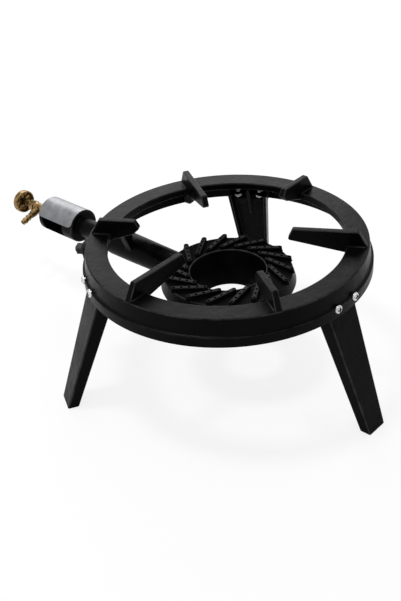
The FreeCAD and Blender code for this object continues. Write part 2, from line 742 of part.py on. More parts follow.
def make_burner_casting():
    """Hollow ring head, swirled ported bars, mixing tube, air chamber and yoke."""
    body = make_body("burner_casting", turned=True)
    outside = make_sketch(body, "head_section", "XZ_Plane")
    draw_outline(outside, [
        ("head_rim", "head_top"),
        ("head_edge", "head_top"),
        ("head_waist", "waist_height"),
        ("head_base", "head_floor"),
        ("head_bore", "head_floor"),
    ])
    turn_profile(body, "head", outside, "V_Axis")

    rims = [edge.Curve for edge in body.Shape.Edges if isinstance(edge.Curve, Part.Circle)]
    heights = [rim.Center.z for rim in rims]
    outer = []
    for level in (min(heights), max(heights)):
        radii = [rim.Radius for rim in rims if abs(rim.Center.z - level) < 0.01]
        outer.append((level, max(radii)))
    round_edges(body, "head_rounds", "head_round", lambda edge: any(
        circle_at(edge, level) and abs(edge.Curve.Radius - radius) < 0.01
        for level, radius in outer))

    tube = make_sketch(body, "tube_section", "XZ_Plane", up="tube_height")
    draw_outline(tube, [
        ("tube_start", "0"),
        ("tube_start", "tube_inner_radius"),
        ("head_waist", "tube_inner_radius"),
        ("post_end", "tube_outer_radius"),
        ("tube_wide", "tube_outer_radius"),
        ("throat_start", "throat_radius"),
        ("throat_end", "throat_radius"),
        ("shoulder - chamber_round", "chamber_radius - chamber_round"),
        ("shoulder", "chamber_radius"),
        ("chamber_end - chamber_round", "chamber_radius"),
        ("chamber_end", "chamber_radius - chamber_round"),
        ("chamber_end", "boss_radius + 1"),
        ("boss_end", "boss_radius"),
        ("boss_end", "0"),
    ])
    turn_profile(body, "tube", tube, "H_Axis")

    post = make_sketch(body, "post_shape", "YZ_Plane", lift="post_start")
    draw_outline(post, [
        ("-post_foot_half", "tube_height"),
        ("post_foot_half", "tube_height"),
        ("post_foot_half", "tube_height + tube_outer_radius * 0.7"),
        ("post_half", "yoke_low + head_round"),
        ("post_half", "yoke_high"),
        ("-post_half", "yoke_high"),
        ("-post_half", "yoke_low + head_round"),
        ("-post_foot_half", "tube_height + tube_outer_radius * 0.7"),
    ])
    pad(body, "post", post, "post_end - post_start")
    arms = make_sketch(body, "yoke_section", "XZ_Plane")
    draw_outline(arms, [
        ("yoke_inner", "yoke_low"),
        (wall_inside("yoke_low") + " - seat_gap", "yoke_low"),
        (wall_inside("yoke_high") + " - seat_gap", "yoke_high"),
        ("yoke_inner", "yoke_high"),
    ])
    turn_profile(body, "yoke_arms", arms, "V_Axis", arc="yoke_arc")

    bore = make_sketch(body, "bore_section", "XZ_Plane", up="tube_height")
    inner = "chamber_radius - chamber_wall"
    draw_outline(bore, [
        ("tube_start", "0"),
        ("tube_start", "bore_radius"),
        ("tube_wide", "bore_radius"),
        ("throat_start", "throat_bore"),
        ("shoulder", "throat_bore"),
        ("shoulder + boss_length", inner),
        ("chamber_end - end_wall", inner),
        ("chamber_end - end_wall", "0"),
    ])
    turn_profile(body, "bore", bore, "H_Axis", cut=True)
    cavity = make_sketch(body, "cavity_section", "XZ_Plane")
    lean = "(head_rim - head_bore) / (head_top - head_floor)"
    draw_outline(cavity, [
        ("head_rim + head_wall - head_wall * %s" % lean, "head_top - head_wall"),
        ("head_edge - head_wall", "head_top - head_wall"),
        ("head_waist - head_wall", "waist_height"),
        ("head_base - head_wall * 0.8", "head_floor + head_wall"),
        ("head_bore + head_wall + head_wall * %s" % lean, "head_floor + head_wall"),
    ])
    turn_profile(body, "cavity", cavity, "V_Axis", cut=True)

    valve_hole = make_sketch(body, "valve_hole_shape", "YZ_Plane",
                             lift="boss_end + 1", up="tube_height")
    draw_circle(valve_hole, "0", "0", "valve_thread_radius + thread_play")
    pocket(body, "valve_hole", valve_hole, "boss_length + end_wall + chamber_wall")
    window = make_sketch(body, "window_shape", "XZ_Plane", up="tube_height")
    draw_outline(window, [
        ("window_start", "-window_low"),
        ("window_end", "-window_low"),
        ("window_end", "window_high"),
        ("window_start", "window_high"),
    ])
    pocket(body, "air_windows", window, "4 * chamber_radius", midplane=True)

    turn = "(bar_turn - tube_turn)"
    ends = [("bar_outer * cos(%s)" % turn, "bar_outer * sin(%s)" % turn),
            ("bar_inner * cos(%s + bar_swirl)" % turn,
             "bar_inner * sin(%s + bar_swirl)" % turn)]
    bar = make_sketch(body, "bar_shape", "XY_Plane", lift="head_top - head_wall / 2")
    aim = math.radians(SIZES["bar_turn"] - SIZES["tube_turn"])
    swirl = math.radians(SIZES["bar_swirl"])
    rim_at = SIZES["head_bore"] + SIZES["head_flare"]
    far_at = rim_at + SIZES["head_width"] - SIZES["bar_outset"]
    near_at = rim_at + SIZES["bar_inset"]
    draw_slot(bar, ends, "bar_half", [
        FreeCAD.Vector(far_at * math.cos(aim), far_at * math.sin(aim), 0),
        FreeCAD.Vector(near_at * math.cos(aim + swirl), near_at * math.sin(aim + swirl), 0),
    ])
    raised = pad(body, "bar", bar, "bar_rise + head_wall / 2")
    ports = make_sketch(body, "port_shape", "XY_Plane", lift="head_top + bar_rise + 1")
    for index in range(int(SIZES["port_count"])):
        share = "%d / (port_count - 1)" % index
        draw_circle(ports,
                    "(%s) * (1 - %s) + (%s) * %s" % (ends[0][0], share, ends[1][0], share),
                    "(%s) * (1 - %s) + (%s) * %s" % (ends[0][1], share, ends[1][1], share),
                    "port_radius")
    drilled = pocket(body, "port", ports, "bar_rise + head_wall + 2")
    ring_pattern(body, "ported_bars", [raised, drilled], "bar_count")

    yoke_bore = make_sketch(body, "yoke_bore_shape", "YZ_Plane",
                            lift="yoke_inner - hollow_run", turn="yoke_spread")
    draw_circle(yoke_bore, "0", "bolt_height", "yoke_hole_radius")
    hole = pocket(body, "yoke_bore", yoke_bore, "hollow_run * 2", reverse=True)
    mirror(body, "yoke_bores", [hole], "XZ_Plane")
    return body


def draw_slot(sketch, ends, half_text, spots):
    """A round-ended slot between two points, drawn at the spots where it belongs."""
    first = sketch.GeometryCount
    far, near = spots
    along = (far - near).normalize()
    half = SIZES[half_text]
    side = FreeCAD.Vector(-along.y, along.x, 0) * half
    up = FreeCAD.Vector(0, 0, 1)
    turn = math.atan2(along.y, along.x)
    quarter = math.pi / 2
    sketch.addGeometry(Part.LineSegment(far + side, near + side))
    sketch.addGeometry(Part.ArcOfCircle(
        Part.Circle(near, up, half), turn + quarter, turn + 3 * quarter))
    sketch.addGeometry(Part.LineSegment(near - side, far - side))
    sketch.addGeometry(Part.ArcOfCircle(
        Part.Circle(far, up, half), turn - quarter, turn + quarter))
    for line, arc, line_end, arc_end in ((0, 1, 2, 1), (2, 1, 1, 2), (2, 3, 2, 1), (0, 3, 1, 2)):
        sketch.addConstraint(Sketcher.Constraint(
            "Tangent", first + line, line_end, first + arc, arc_end))
    sketch.addConstraint(Sketcher.Constraint("Equal", first + 1, first + 3))
    pin_point(sketch, first + 3, 3, ends[0][0], ends[0][1], start=(far.x, far.y))
    pin_point(sketch, first + 1, 3, ends[1][0], ends[1][1], start=(near.x, near.y))
    row = sketch.addConstraint(Sketcher.Constraint("Radius", first + 1, half))
    sketch.setExpression("Constraints[%d]" % row, tie(half_text))


def make_air_shutter():
    """Rolled sheet shell round the chamber with its lower free corners rounded."""
    body = make_body("air_shutter", turned=True, raised=True)
    inside = "chamber_radius + shutter_gap"
    # the arc runs from the near side, over the top and down the far side
    shell = make_sketch(body, "shutter_arc_shape", "YZ_Plane", lift="shutter_start")
    first = shell.GeometryCount
    up = FreeCAD.Vector(0, 0, 1)
    start = math.radians(SIZES["shutter_near"])
    stop = start + math.radians(SIZES["shutter_arc"])
    low = SIZES["chamber_radius"] + SIZES["shutter_gap"]
    high = low + SIZES["shutter_wall"]
    shell.addGeometry(Part.ArcOfCircle(Part.Circle(FreeCAD.Vector(), up, low), start, stop))
    shell.addGeometry(Part.ArcOfCircle(Part.Circle(FreeCAD.Vector(), up, high), start, stop))
    spots = []
    for angle in (start, stop):
        for radius in (low, high):
            spots.append(FreeCAD.Vector(radius * math.cos(angle), radius * math.sin(angle), 0))
    shell.addGeometry(Part.LineSegment(spots[0], spots[1]))
    shell.addGeometry(Part.LineSegment(spots[2], spots[3]))
    for one, one_end, two, two_end in ((2, 1, 0, 1), (2, 2, 1, 1), (3, 1, 0, 2), (3, 2, 1, 2)):
        shell.addConstraint(Sketcher.Constraint(
            "Coincident", first + one, one_end, first + two, two_end))
    for arc, text in ((0, inside), (1, inside + " + shutter_wall")):
        shell.addConstraint(Sketcher.Constraint("Coincident", first + arc, 3, -1, 1))
        row = shell.addConstraint(Sketcher.Constraint("Radius", first + arc, 10.0 + arc))
        shell.setExpression("Constraints[%d]" % row, tie(text))
    near_x = "(%s) * cos(shutter_near)" % inside
    near_y = "(%s) * sin(shutter_near)" % inside
    far_x = "(%s) * cos(shutter_near + shutter_arc)" % inside
    far_y = "(%s) * sin(shutter_near + shutter_arc)" % inside
    row = shell.addConstraint(Sketcher.Constraint("DistanceY", -1, 1, first, 1, near_start(near_y)))
    shell.setExpression("Constraints[%d]" % row, tie(near_y))
    row = shell.addConstraint(Sketcher.Constraint("DistanceY", -1, 1, first, 2, near_start(far_y)))
    shell.setExpression("Constraints[%d]" % row, tie(far_y))
    for line in (2, 3):
        shell.addConstraint(Sketcher.Constraint(
            "PointOnObject", -1, 1, first + line))
    pad(body, "shutter_shell", shell, "shutter_end - shutter_start")
    return body


def near_start(text):
    """First guess for a height on the shutter's arc, by which end it is."""
    angle = SIZES["shutter_near"]
    if "shutter_arc" in text:
        angle += SIZES["shutter_arc"]
    return (SIZES["chamber_radius"] + SIZES["shutter_gap"]) * math.sin(math.radians(angle))


def roll_to_branch(body):
    """Half a turn about an axis that leans by half the roll: faces the tube, rolled."""
    lean = math.radians(SIZES["valve_roll"] / 2)
    body.Placement = FreeCAD.Placement(
        FreeCAD.Vector(0, 0, SIZES["tube_height"]),
        FreeCAD.Rotation(FreeCAD.Vector(0, -math.sin(lean), math.cos(lean)), 180))
    body.setExpression("Placement.Rotation.Angle", tie("tube_turn"))
    body.setExpression("Placement.Base.z", tie("tube_height"))


def make_valve_body():
    """Turned brass body, threaded into the chamber's boss, with a side branch."""
    body = make_body("valve_body")
    roll_to_branch(body)
    section = make_sketch(body, "valve_section", "XZ_Plane")
    collar = "boss_end + valve_collar_thick"
    draw_outline(section, [
        ("valve_shank_start", "0"),
        ("valve_shank_start", "valve_thread_radius"),
        ("boss_end", "valve_thread_radius"),
        ("boss_end", "valve_collar_radius"),
        (collar, "valve_collar_radius"),
        (collar + " + valve_collar_slope", "valve_body_radius"),
        ("valve_body_end", "valve_body_radius"),
        ("valve_body_end", "valve_neck_radius"),
        ("valve_neck_end", "valve_neck_radius"),
        ("valve_neck_end", "0"),
    ])
    turn_profile(body, "valve_turned", section, "H_Axis")
    branch = make_sketch(body, "branch_section", "XZ_Plane")
    draw_circle(branch, "branch_place", "0", "branch_radius")
    pad(body, "branch", branch, "branch_face", reverse=True)
    socket = make_sketch(body, "socket_section", "XZ_Plane", lift="-branch_face")
    draw_circle(socket, "branch_place", "0", "nozzle_thread_radius + thread_play")
    pocket(body, "socket", socket, "branch_depth", reverse=True)
    inlet = make_sketch(body, "inlet_section", "XZ_Plane", lift="-branch_face")
    draw_circle(inlet, "branch_place", "0", "nozzle_bore")
    pocket(body, "inlet", inlet, "branch_face", reverse=True)
    room = make_sketch(body, "room_section", "XZ_Plane")
    jet_hole = "valve_shank_start + jet_thread_depth"
    draw_outline(room, [
        ("valve_shank_start", "0"),
        ("valve_shank_start", "jet_thread_radius + thread_play"),
        (jet_hole, "jet_thread_radius + thread_play"),
        (jet_hole, "valve_way_radius"),
        ("valve_seat", "valve_way_radius"),
        ("valve_seat", "valve_room_radius"),
        ("valve_neck_end", "valve_room_radius"),
        ("valve_neck_end", "0"),
    ])
    turn_profile(body, "valve_room", room, "H_Axis", cut=True)
    return body


def make_turned(label, points, rolled=False):
    """A body turned about the tube's axis from a profile of length and radius."""
    body = make_body(label, turned=not rolled, raised=not rolled)
    if rolled:
        roll_to_branch(body)
    section = make_sketch(body, label + "_section", "XZ_Plane")
    draw_outline(section, points)
    turn_profile(body, label + "_turned", section, "H_Axis")
    return body


def make_injector_jet():
    """Hexagon jet in the valve's shank, with its small gas hole."""
    body = make_body("injector_jet", turned=True, raised=True)
    head = make_sketch(body, "jet_hexagon", "YZ_Plane", lift="jet_hex_start")
    draw_hexagon(head, "jet_flats")
    pad(body, "jet_head", head, "jet_hex_depth")
    nose = make_sketch(body, "jet_section", "XZ_Plane")
    draw_outline(nose, [
        ("jet_start", "0"),
        ("jet_start", "jet_flats * 0.2"),
        ("jet_hex_start", "jet_flats * 0.4"),
        ("valve_shank_start - jet_hex_depth / 2", "jet_flats * 0.4"),
        ("valve_shank_start - jet_hex_depth / 2", "jet_thread_radius"),
        ("valve_shank_start + jet_thread_depth", "jet_thread_radius"),
        ("valve_shank_start + jet_thread_depth", "0"),
    ])
    turn_profile(body, "jet_turned", nose, "H_Axis")
    way = make_sketch(body, "jet_way_section", "XZ_Plane")
    draw_outline(way, [
        ("jet_start", "0"),
        ("jet_start", "jet_hole_radius"),
        ("jet_start + jet_nose / 2", "jet_hole_radius"),
        ("jet_hex_start", "valve_way_radius"),
        ("valve_shank_start + jet_thread_depth", "valve_way_radius"),
        ("valve_shank_start + jet_thread_depth", "0"),
    ])
    turn_profile(body, "jet_way", way, "H_Axis", cut=True)
    return body


def make_hose_nozzle():
    """Barbed hose nozzle on the side branch; its own axis is the branch's."""
    body = make_body("hose_nozzle")
    roll_to_branch(body)
    start = "branch_face - branch_depth"
    collar = "branch_face + nozzle_collar_thick"
    points = [
        ("nozzle_bore", start),
        ("nozzle_thread_radius", start),
        ("nozzle_thread_radius", "branch_face"),
        ("nozzle_collar_radius", "branch_face"),
        ("nozzle_collar_radius", collar),
        ("nozzle_root_radius", collar),
    ]
    for ridge in range(3):
        foot = "%s + nozzle_neck + %d * nozzle_pitch" % (collar, ridge)
        points.append(("nozzle_root_radius", foot))
        points.append(("nozzle_crest_radius", foot))
        points.append(("nozzle_crest_radius", foot + " + nozzle_land"))
    end = "%s + nozzle_neck + 3 * nozzle_pitch" % collar
    points.append(("nozzle_root_radius", end))
    points.append(("nozzle_bore", end))
    section = make_sketch(body, "nozzle_section", "XY_Plane")
    draw_outline(section, [("branch_place + " + x, y) for x, y in points])
    feature = body.newObject("PartDesign::Revolution", "nozzle_turned")
    axis = section.addGeometry(Part.LineSegment(
        FreeCAD.Vector(10, 0, 0), FreeCAD.Vector(10, 60, 0)), True)
    pin_point(section, axis, 1, "branch_place", "0")
    pin_point(section, axis, 2, "branch_place", "branch_face * 3")
    feature.Profile = section
    feature.ReferenceAxis = (section, ["Axis0"])
    feature.Angle = 360.0
    section.Visibility = False
    doc.recompute()
    return body


def make_gland_nut():
    """Hexagon nut over the valve's neck, closed round the spindle."""
    body = make_body("gland_nut", turned=True, raised=True)
    shape = make_sketch(body, "gland_hexagon", "YZ_Plane", lift="gland_start")
    draw_hexagon(shape, "gland_flats")
    pad(body, "gland_prism", shape, "gland_length")
    hollow = make_sketch(body, "gland_section", "XZ_Plane")
    neck = "valve_neck_radius + thread_play"
    draw_outline(hollow, [
        ("valve_body_end", "0"),
        ("valve_body_end", neck),
        ("valve_neck_end + seat_gap", neck),
        ("valve_neck_end + seat_gap", "spindle_radius + spindle_play"),
        ("gland_end + leg_web", "spindle_radius + spindle_play"),
        ("gland_end + leg_web", "0"),
    ])
    turn_profile(body, "gland_hollow", hollow, "H_Axis", cut=True)
    corner = make_sketch(body, "gland_corner", "XZ_Plane")
    draw_outline(corner, [
        ("gland_end - gland_flats * 0.08", "gland_flats * 0.6"),
        ("gland_end + gland_flats * 0.02", "gland_flats * 0.42"),
        ("gland_end + gland_flats * 0.02", "gland_flats * 0.6"),
    ])
    turn_profile(body, "gland_chamfer", corner, "H_Axis", cut=True)
    return body


def make_handwheel():
    """Cup-shaped wheel, open towards the valve, with a five-spoked web and a hub."""
    body = make_body("handwheel", turned=True, raised=True)
    section = make_sketch(body, "wheel_section", "XZ_Plane")
    back = "wheel_back"
    hole = "spindle_radius + spindle_play / 3"
    draw_outline(section, [
        ("wheel_hub_start", hole),
        ("wheel_hub_start", "wheel_hub_radius"),
        (back + " - wheel_web", "wheel_hub_radius * 1.2"),
        (back + " - wheel_web", "wheel_radius - wheel_rim_wall"),
        ("wheel_front + wheel_rim_wall / 3", "wheel_radius - wheel_rim_wall * 0.75"),
        ("wheel_front", "wheel_radius - wheel_rim_wall / 2"),
        ("wheel_front + wheel_rim_wall / 3", "wheel_radius - wheel_rim_wall * 0.1"),
        ("wheel_front + wheel_depth / 2", "wheel_radius"),
        (back + " - wheel_rim_wall * 0.7", "wheel_radius - wheel_rim_wall / 3"),
        (back, "wheel_radius - wheel_rim_wall"),
        (back, hole),
    ])
    turn_profile(body, "wheel_turned", section, "H_Axis")
    gap = make_sketch(body, "wheel_gap_shape", "YZ_Plane", lift=back + " + wheel_web")
    inner = "(wheel_hub_radius * 1.4)"
    outer = "(wheel_radius - wheel_rim_wall * 1.2)"
    swing = "asin(spoke_half / %s) / (1 deg)"
    half = "180 / spoke_count"
    points = []
    for radius, sign in ((inner, 1), (outer, 1), (outer, -1), (inner, -1)):
        angle = "(90 + %d * (%s - %s))" % (-sign, half, swing % radius)
        points.append(("%s * cos(%s)" % (radius, angle), "%s * sin(%s)" % (radius, angle)))
    points.insert(2, ("0", outer))
    draw_outline(gap, points)
    cut = pocket(body, "wheel_gap", gap, "wheel_web * 2.5")
    ring_pattern(body, "wheel_gaps", [cut], "spoke_count", axis="X_Axis")
    return body


def make_wheel_nut():
    """Small nut that keeps the handwheel on the spindle."""
    body = make_body("handwheel_nut", turned=True, raised=True)
    shape = make_sketch(body, "wheel_nut_hexagon", "YZ_Plane", lift="wheel_back")
    draw_hexagon(shape, "wheel_nut_flats")
    draw_circle(shape, "0", "0", "wheel_nut_bore + thread_play")
    pad(body, "wheel_nut_prism", shape, "wheel_nut_depth")
    return body


def make_pieces():
    """Every sub-part, in the order of assembly."""
    pieces = [make_pot_ring()]
    pieces.append(make_leg("leg_right", "0"))
    pieces.append(make_leg("leg_rear", "360 / leg_count"))
    pieces.append(make_leg("leg_front", "720 / leg_count"))
    turns = leg_bolt_turns()
    pieces.append(copies("leg_bolts", make_leg_bolts(), turns))
    washer = make_ring_washer("leg_washer", "bolt_height", "washer_face",
                              "leg_washer_thick", "leg_bolt_radius + washer_gap",
                              "leg_washer_radius")
    pieces.append(copies("leg_washers", washer, turns))
    nut = make_ring_nut("leg_nut", "bolt_height", "washer_face - leg_nut_depth",
                        "leg_nut_depth", "leg_nut_flats", "leg_bolt_radius + thread_play")
    pieces.append(copies("leg_nuts", nut, turns))
    pieces.append(make_burner_casting())

    yoke_turns = ["tube_turn - yoke_spread", "tube_turn + yoke_spread"]
    body, section = radial_piece("yoke_bolt", "bolt_height")
    seat = "sqrt(yoke_inner^2 - yoke_nut_flats^2 / 3) - thread_play"
    tip = "lug_face + yoke_washer_thick + yoke_nut_depth + yoke_bolt_end"
    draw_outline(section, [
        (seat, "0"),
        (seat, "yoke_bolt_radius"),
        (tip + " - yoke_bolt_radius * 0.2", "yoke_bolt_radius"),
        (tip, "yoke_bolt_radius * 0.8"),
        (tip, "0"),
    ])
    turn_profile(body, "yoke_shank", section, "H_Axis")
    head = make_sketch(body, "yoke_head_hexagon", "YZ_Plane", lift=seat,
                       up="bolt_height")
    draw_hexagon(head, "yoke_nut_flats")
    pad(body, "yoke_head", head, "yoke_head_depth", reverse=True)
    pieces.append(copies("yoke_bolts", body, yoke_turns))
    washer = make_ring_washer("yoke_washer", "bolt_height", "lug_face",
                              "yoke_washer_thick", "yoke_hole_radius",
                              "yoke_washer_radius")
    pieces.append(copies("yoke_washers", washer, yoke_turns))
    nut = make_ring_nut("yoke_nut", "bolt_height", "lug_face + yoke_washer_thick",
                        "yoke_nut_depth", "yoke_nut_flats",
                        "yoke_bolt_radius + thread_play")
    pieces.append(copies("yoke_nuts", nut, yoke_turns))

    pieces.append(make_air_shutter())
    pieces.append(make_valve_body())
    pieces.append(make_injector_jet())
    pieces.append(make_hose_nozzle())
    pieces.append(make_gland_nut())
    packing_start = "valve_neck_end - packing_thick"
    inner = "spindle_radius + spindle_play"
    outer = "valve_room_radius - packing_play"
    pieces.append(make_turned("spindle_packing", [
        (packing_start, inner),
        ("valve_neck_end", inner),
        ("valve_neck_end", outer),
        (packing_start, outer),
    ]))
    disc_end = "spindle_start - seat_gap"
    disc_start = disc_end + " - seat_disc_thick"
    pieces.append(make_turned("seat_disc", [
        (disc_start, "0"),
        (disc_start, "seat_disc_radius"),
        (disc_end, "seat_disc_radius"),
        (disc_end, "0"),
    ]))
    tip = "wheel_back + wheel_nut_depth + spindle_radius / 4"
    pieces.append(make_turned("spindle", [
        ("spindle_start", "0"),
        ("spindle_start", "spindle_radius"),
        ("wheel_back", "spindle_radius"),
        ("wheel_back", "wheel_nut_bore"),
        (tip, "wheel_nut_bore"),
        (tip, "0"),
    ]))
    pieces.append(make_handwheel())
    pieces.append(make_wheel_nut())
    return pieces


def check_document():
    """Stop if any object of the document failed to build."""
    for item in doc.Objects:
        if "Invalid" in item.State or "Error" in item.State:
            raise ValueError("%s: %s" % (item.Label, item.State))


def write_pieces(pieces):
    """Check every piece's shape and write it to its own file."""
    os.makedirs("parts", exist_ok=True)
    for piece in pieces:
        if piece.Shape.isNull() or not piece.Shape.isValid():
            raise ValueError(piece.Label + " has no valid shape")
    for piece in pieces:
        piece.Shape.exportStep("parts/%s.step" % piece.Label)
        print("%-18s %2d solid(s) %12.1f mm3" % (
            piece.Label, len(piece.Shape.Solids), piece.Shape.Volume))


make_sheet()
made = make_pieces()
doc.recompute()
check_document()
write_pieces(made)
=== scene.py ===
import bmesh
import bpy
import numpy as np
from mathutils import Matrix, Vector


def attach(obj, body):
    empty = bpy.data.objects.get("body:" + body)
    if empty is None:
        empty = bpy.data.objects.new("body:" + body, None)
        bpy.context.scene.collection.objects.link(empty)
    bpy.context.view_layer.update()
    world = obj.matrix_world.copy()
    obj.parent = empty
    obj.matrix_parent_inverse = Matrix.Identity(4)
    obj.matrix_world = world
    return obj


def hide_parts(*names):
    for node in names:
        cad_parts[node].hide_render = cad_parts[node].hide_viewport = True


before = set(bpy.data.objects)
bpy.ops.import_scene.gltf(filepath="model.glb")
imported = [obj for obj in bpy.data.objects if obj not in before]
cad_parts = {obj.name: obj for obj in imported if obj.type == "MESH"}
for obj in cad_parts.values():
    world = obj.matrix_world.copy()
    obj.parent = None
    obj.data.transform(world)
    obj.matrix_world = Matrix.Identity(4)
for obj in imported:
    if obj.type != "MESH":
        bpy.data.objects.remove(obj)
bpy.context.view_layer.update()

millimetre = 0.001
mergeReach = 2e-6  # metres within which doubled points become one
sliverReach = 1e-7  # and under which an edge is dropped

print("stage: tools for surfaces")


# each row divided by its own length
def unitRows(rows):
    return rows / np.maximum(np.linalg.norm(rows, axis=-1, keepdims=True), 1e-12)


# every corner becomes an arc that touches both its sides: the arc's centre lies on the corner's
# bisector at radius / sin(half angle), and a holding point stands just before and after each arc
def roundCorners(points, radii, steps=5, closed=True, hold=0.15):
    spots = np.asarray(points, float)
    radius = np.broadcast_to(np.asarray(radii, float), len(spots)).copy()
    toBack = np.roll(spots, 1, 0) - spots
    toNext = np.roll(spots, -1, 0) - spots
    if not closed:
        toBack[0] = -toNext[0]
        toNext[-1] = -toBack[-1]
        radius[[0, -1]] = 0
    room = 0.48 * np.minimum(np.linalg.norm(toBack, axis=1), np.linalg.norm(toNext, axis=1))
    back, ahead = unitRows(toBack), unitRows(toNext)
    half = np.arccos(np.clip((back * ahead).sum(1), -1, 1)) / 2
    reach = np.minimum(radius / np.tan(half), room)
    radius = reach * np.tan(half)
    centre = spots + unitRows(back + ahead) * (radius / np.sin(half))[:, None]
    first = (spots + back * reach[:, None] - centre)[:, None]
    last = (spots + ahead * reach[:, None] - centre)[:, None]
    sweep = np.maximum(np.pi - 2 * half, 1e-4)[:, None, None]
    share = np.linspace(0, 1, steps)[None, :, None]
    arc = centre[:, None] + (np.sin((1 - share) * sweep) * first
                             + np.sin(share * sweep) * last) / np.sin(sweep)
    gap = np.minimum(hold, room - reach + 0.01)[:, None]
    before = (spots + back * (reach[:, None] + gap))[:, None]
    after = (spots + ahead * (reach[:, None] + gap))[:, None]
    line = np.concatenate([before, arc, after], 1).reshape(-1, 2)
    return line if closed else line[steps:len(line) - steps]


# the four-sided faces between neighbouring points of a rows by columns grid, wrapped where closed
def gridFaces(rows, cols, closeRows=False, closeCols=False):
    row, col = np.meshgrid(np.arange(rows if closeRows else rows - 1),
                           np.arange(cols if closeCols else cols - 1), indexing="ij")
    up, right = (row + 1) % rows, (col + 1) % cols
    faces = [row * cols + col, row * cols + right, up * cols + right, up * cols + col]
    return np.stack(faces, -1).reshape(-1, 4)


# the point numbers round the border of a rows by columns grid
def gridRim(rows, cols):
    index = np.arange(rows * cols).reshape(rows, cols)
    return np.concatenate([index[0, :-1], index[:-1, -1], index[-1, :0:-1], index[:0:-1, 0]])


# angles that step evenly from turn to turn, each stretch without its last one
def anglesThrough(turns, counts):
    return np.concatenate([np.linspace(first, last, count)[:-1]
                           for first, last, count in zip(turns, turns[1:], counts)])


# a cap over a closed row of points, laddered from both ends: point i joins the i-th from the end
def ladderFaces(count, start, flip):
    low = np.arange(count // 2 - 1)
    high = count - 1 - low
    faces = np.stack([low, low + 1, high - 1, high], -1) + start
    return faces[:, ::-1] if flip else faces


# turns a part's faces over when the volume they enclose, a sum of triple products, is negative
def outward(points, faces):
    corner = points[faces]
    volume = sum(np.einsum("ij,ij->i", corner[:, 0], np.cross(corner[:, k], corner[:, k + 1])).sum()
                 for k in (1, 2))
    return points, (faces if volume > 0 else faces[:, ::-1])


# rows of closed outlines joined into a skin, with a laddered cap on the first and the last
def skin(rows):
    rows = np.asarray(rows, float)
    count, size = rows.shape[:2]
    faces = np.concatenate([gridFaces(count, size, closeCols=True),
                            ladderFaces(size, 0, True),
                            ladderFaces(size, (count - 1) * size, False)])
    return outward(rows.reshape(-1, 3), faces)


# a profile of (radius, height) turned round an axis: centre + radius (cos a e1 + sin a e2)
# + height e3; an open profile starts and ends on the axis
def turned(profile, axes, count=96, closed=True, arc=None):
    centre, e1, e2, e3 = (np.asarray(v, float) for v in axes)
    if arc is None:
        angle = np.arange(count) * 2 * np.pi / count
    else:
        angle = np.radians(np.linspace(arc[0], arc[1], count))
    ray = np.cos(angle)[:, None] * e1 + np.sin(angle)[:, None] * e2
    radius, height = np.asarray(profile, float).T
    points = centre + radius[:, None, None] * ray[None] + height[:, None, None] * e3
    if arc is not None:
        return skin(points.transpose(1, 0, 2))
    return outward(points.reshape(-1, 3), gridFaces(len(radius), count, closed, True))


# an open profile with rounded corners turned round its axis
def lathe(profile, rounds, axes, count, steps=4):
    return turned(roundCorners(profile, rounds, steps, closed=False), axes, count, closed=False)


# inward mitred offset of a closed outline: each point moves by distance (n1 + n2) / (1 + n1.n2)
def inset(outline, distance):
    step = unitRows(np.roll(outline, -1, 0) - outline)
    left = np.stack([-step[:, 1], step[:, 0]], -1)
    before = np.roll(left, 1, 0)
    mitre = (left + before) / np.maximum(1 + (left * before).sum(1, keepdims=True), 0.3)
    x, y = outline.T
    area = (x * np.roll(y, -1) - np.roll(x, -1) * y).sum()
    return outline + mitre * (distance if area > 0 else -distance)


# an outline carried through its thickness; near both faces it draws in by a quarter circle:
# inset = edge (1 - sin a), depth = half - edge (1 - cos a)
def plate(outline, half, edge, place, steps=4):
    angle = np.linspace(0, np.pi / 2, steps)
    draw = np.concatenate([[edge * 1.25], edge * (1 - np.sin(angle)), [0]])
    depth = np.concatenate([[half], half - edge * (1 - np.cos(angle)), [half - edge * 1.25]])
    draw = np.concatenate([draw, draw[::-1]])
    depth = np.concatenate([depth, -depth[::-1]])
    return skin([place(inset(outline, d), t) for d, t in zip(draw, depth)])


# directions along and across a ring at an angle in degrees
def ringAxes(degrees):
    angle = np.radians(degrees)
    return np.array([np.cos(angle), np.sin(angle), 0]), np.array([-np.sin(angle), np.cos(angle), 0])


# points given as radius, offset across the radius and height, turned to an angle round Z
def onRadius(radius, across, height, degrees):
    along, side = ringAxes(degrees)
    radius, across, height = np.broadcast_arrays(radius, across, height)
    return (radius[..., None] * along + across[..., None] * side
            + height[..., None] * np.array([0, 0, 1.0]))


# a new object of the scene that holds the given data
def addObject(name, data):
    thing = bpy.data.objects.new(name, data)
    bpy.context.scene.collection.objects.link(thing)
    return thing


edgeHighlightRange = {"start": 0.03, "span": 0.06}  # the mean fall where the painted edge highlight begins, and what fills it


# how far a mesh curves outward at each point, kept as the attribute edgeHighlight for a painted
# highlight on outward-curving edges: the mean over its edges of the sine by which the edge falls
# below the point's tangent plane
def markEdges(mesh):
    points = np.empty(len(mesh.vertices) * 3, np.float32)
    normals = np.empty_like(points)
    ends = np.empty(len(mesh.edges) * 2, np.int32)
    mesh.vertices.foreach_get("co", points)
    mesh.vertex_normals.foreach_get("vector", normals)
    mesh.edges.foreach_get("vertices", ends)
    points, normals = points.reshape(-1, 3), normals.reshape(-1, 3)
    first, last = ends.reshape(-1, 2).T
    here, there = np.concatenate([first, last]), np.concatenate([last, first])
    fall = -(normals[here] * unitRows(points[there] - points[here])).sum(1)
    size = len(points)
    mean = np.bincount(here, fall, size) / np.maximum(np.bincount(here, minlength=size), 1)
    share = np.clip((mean - edgeHighlightRange["start"]) / edgeHighlightRange["span"], 0, 1)
    highlightAttribute = mesh.attributes.new("edgeHighlight", "FLOAT", "POINT")
    highlightAttribute.data.foreach_set("value", share.astype(np.float32))


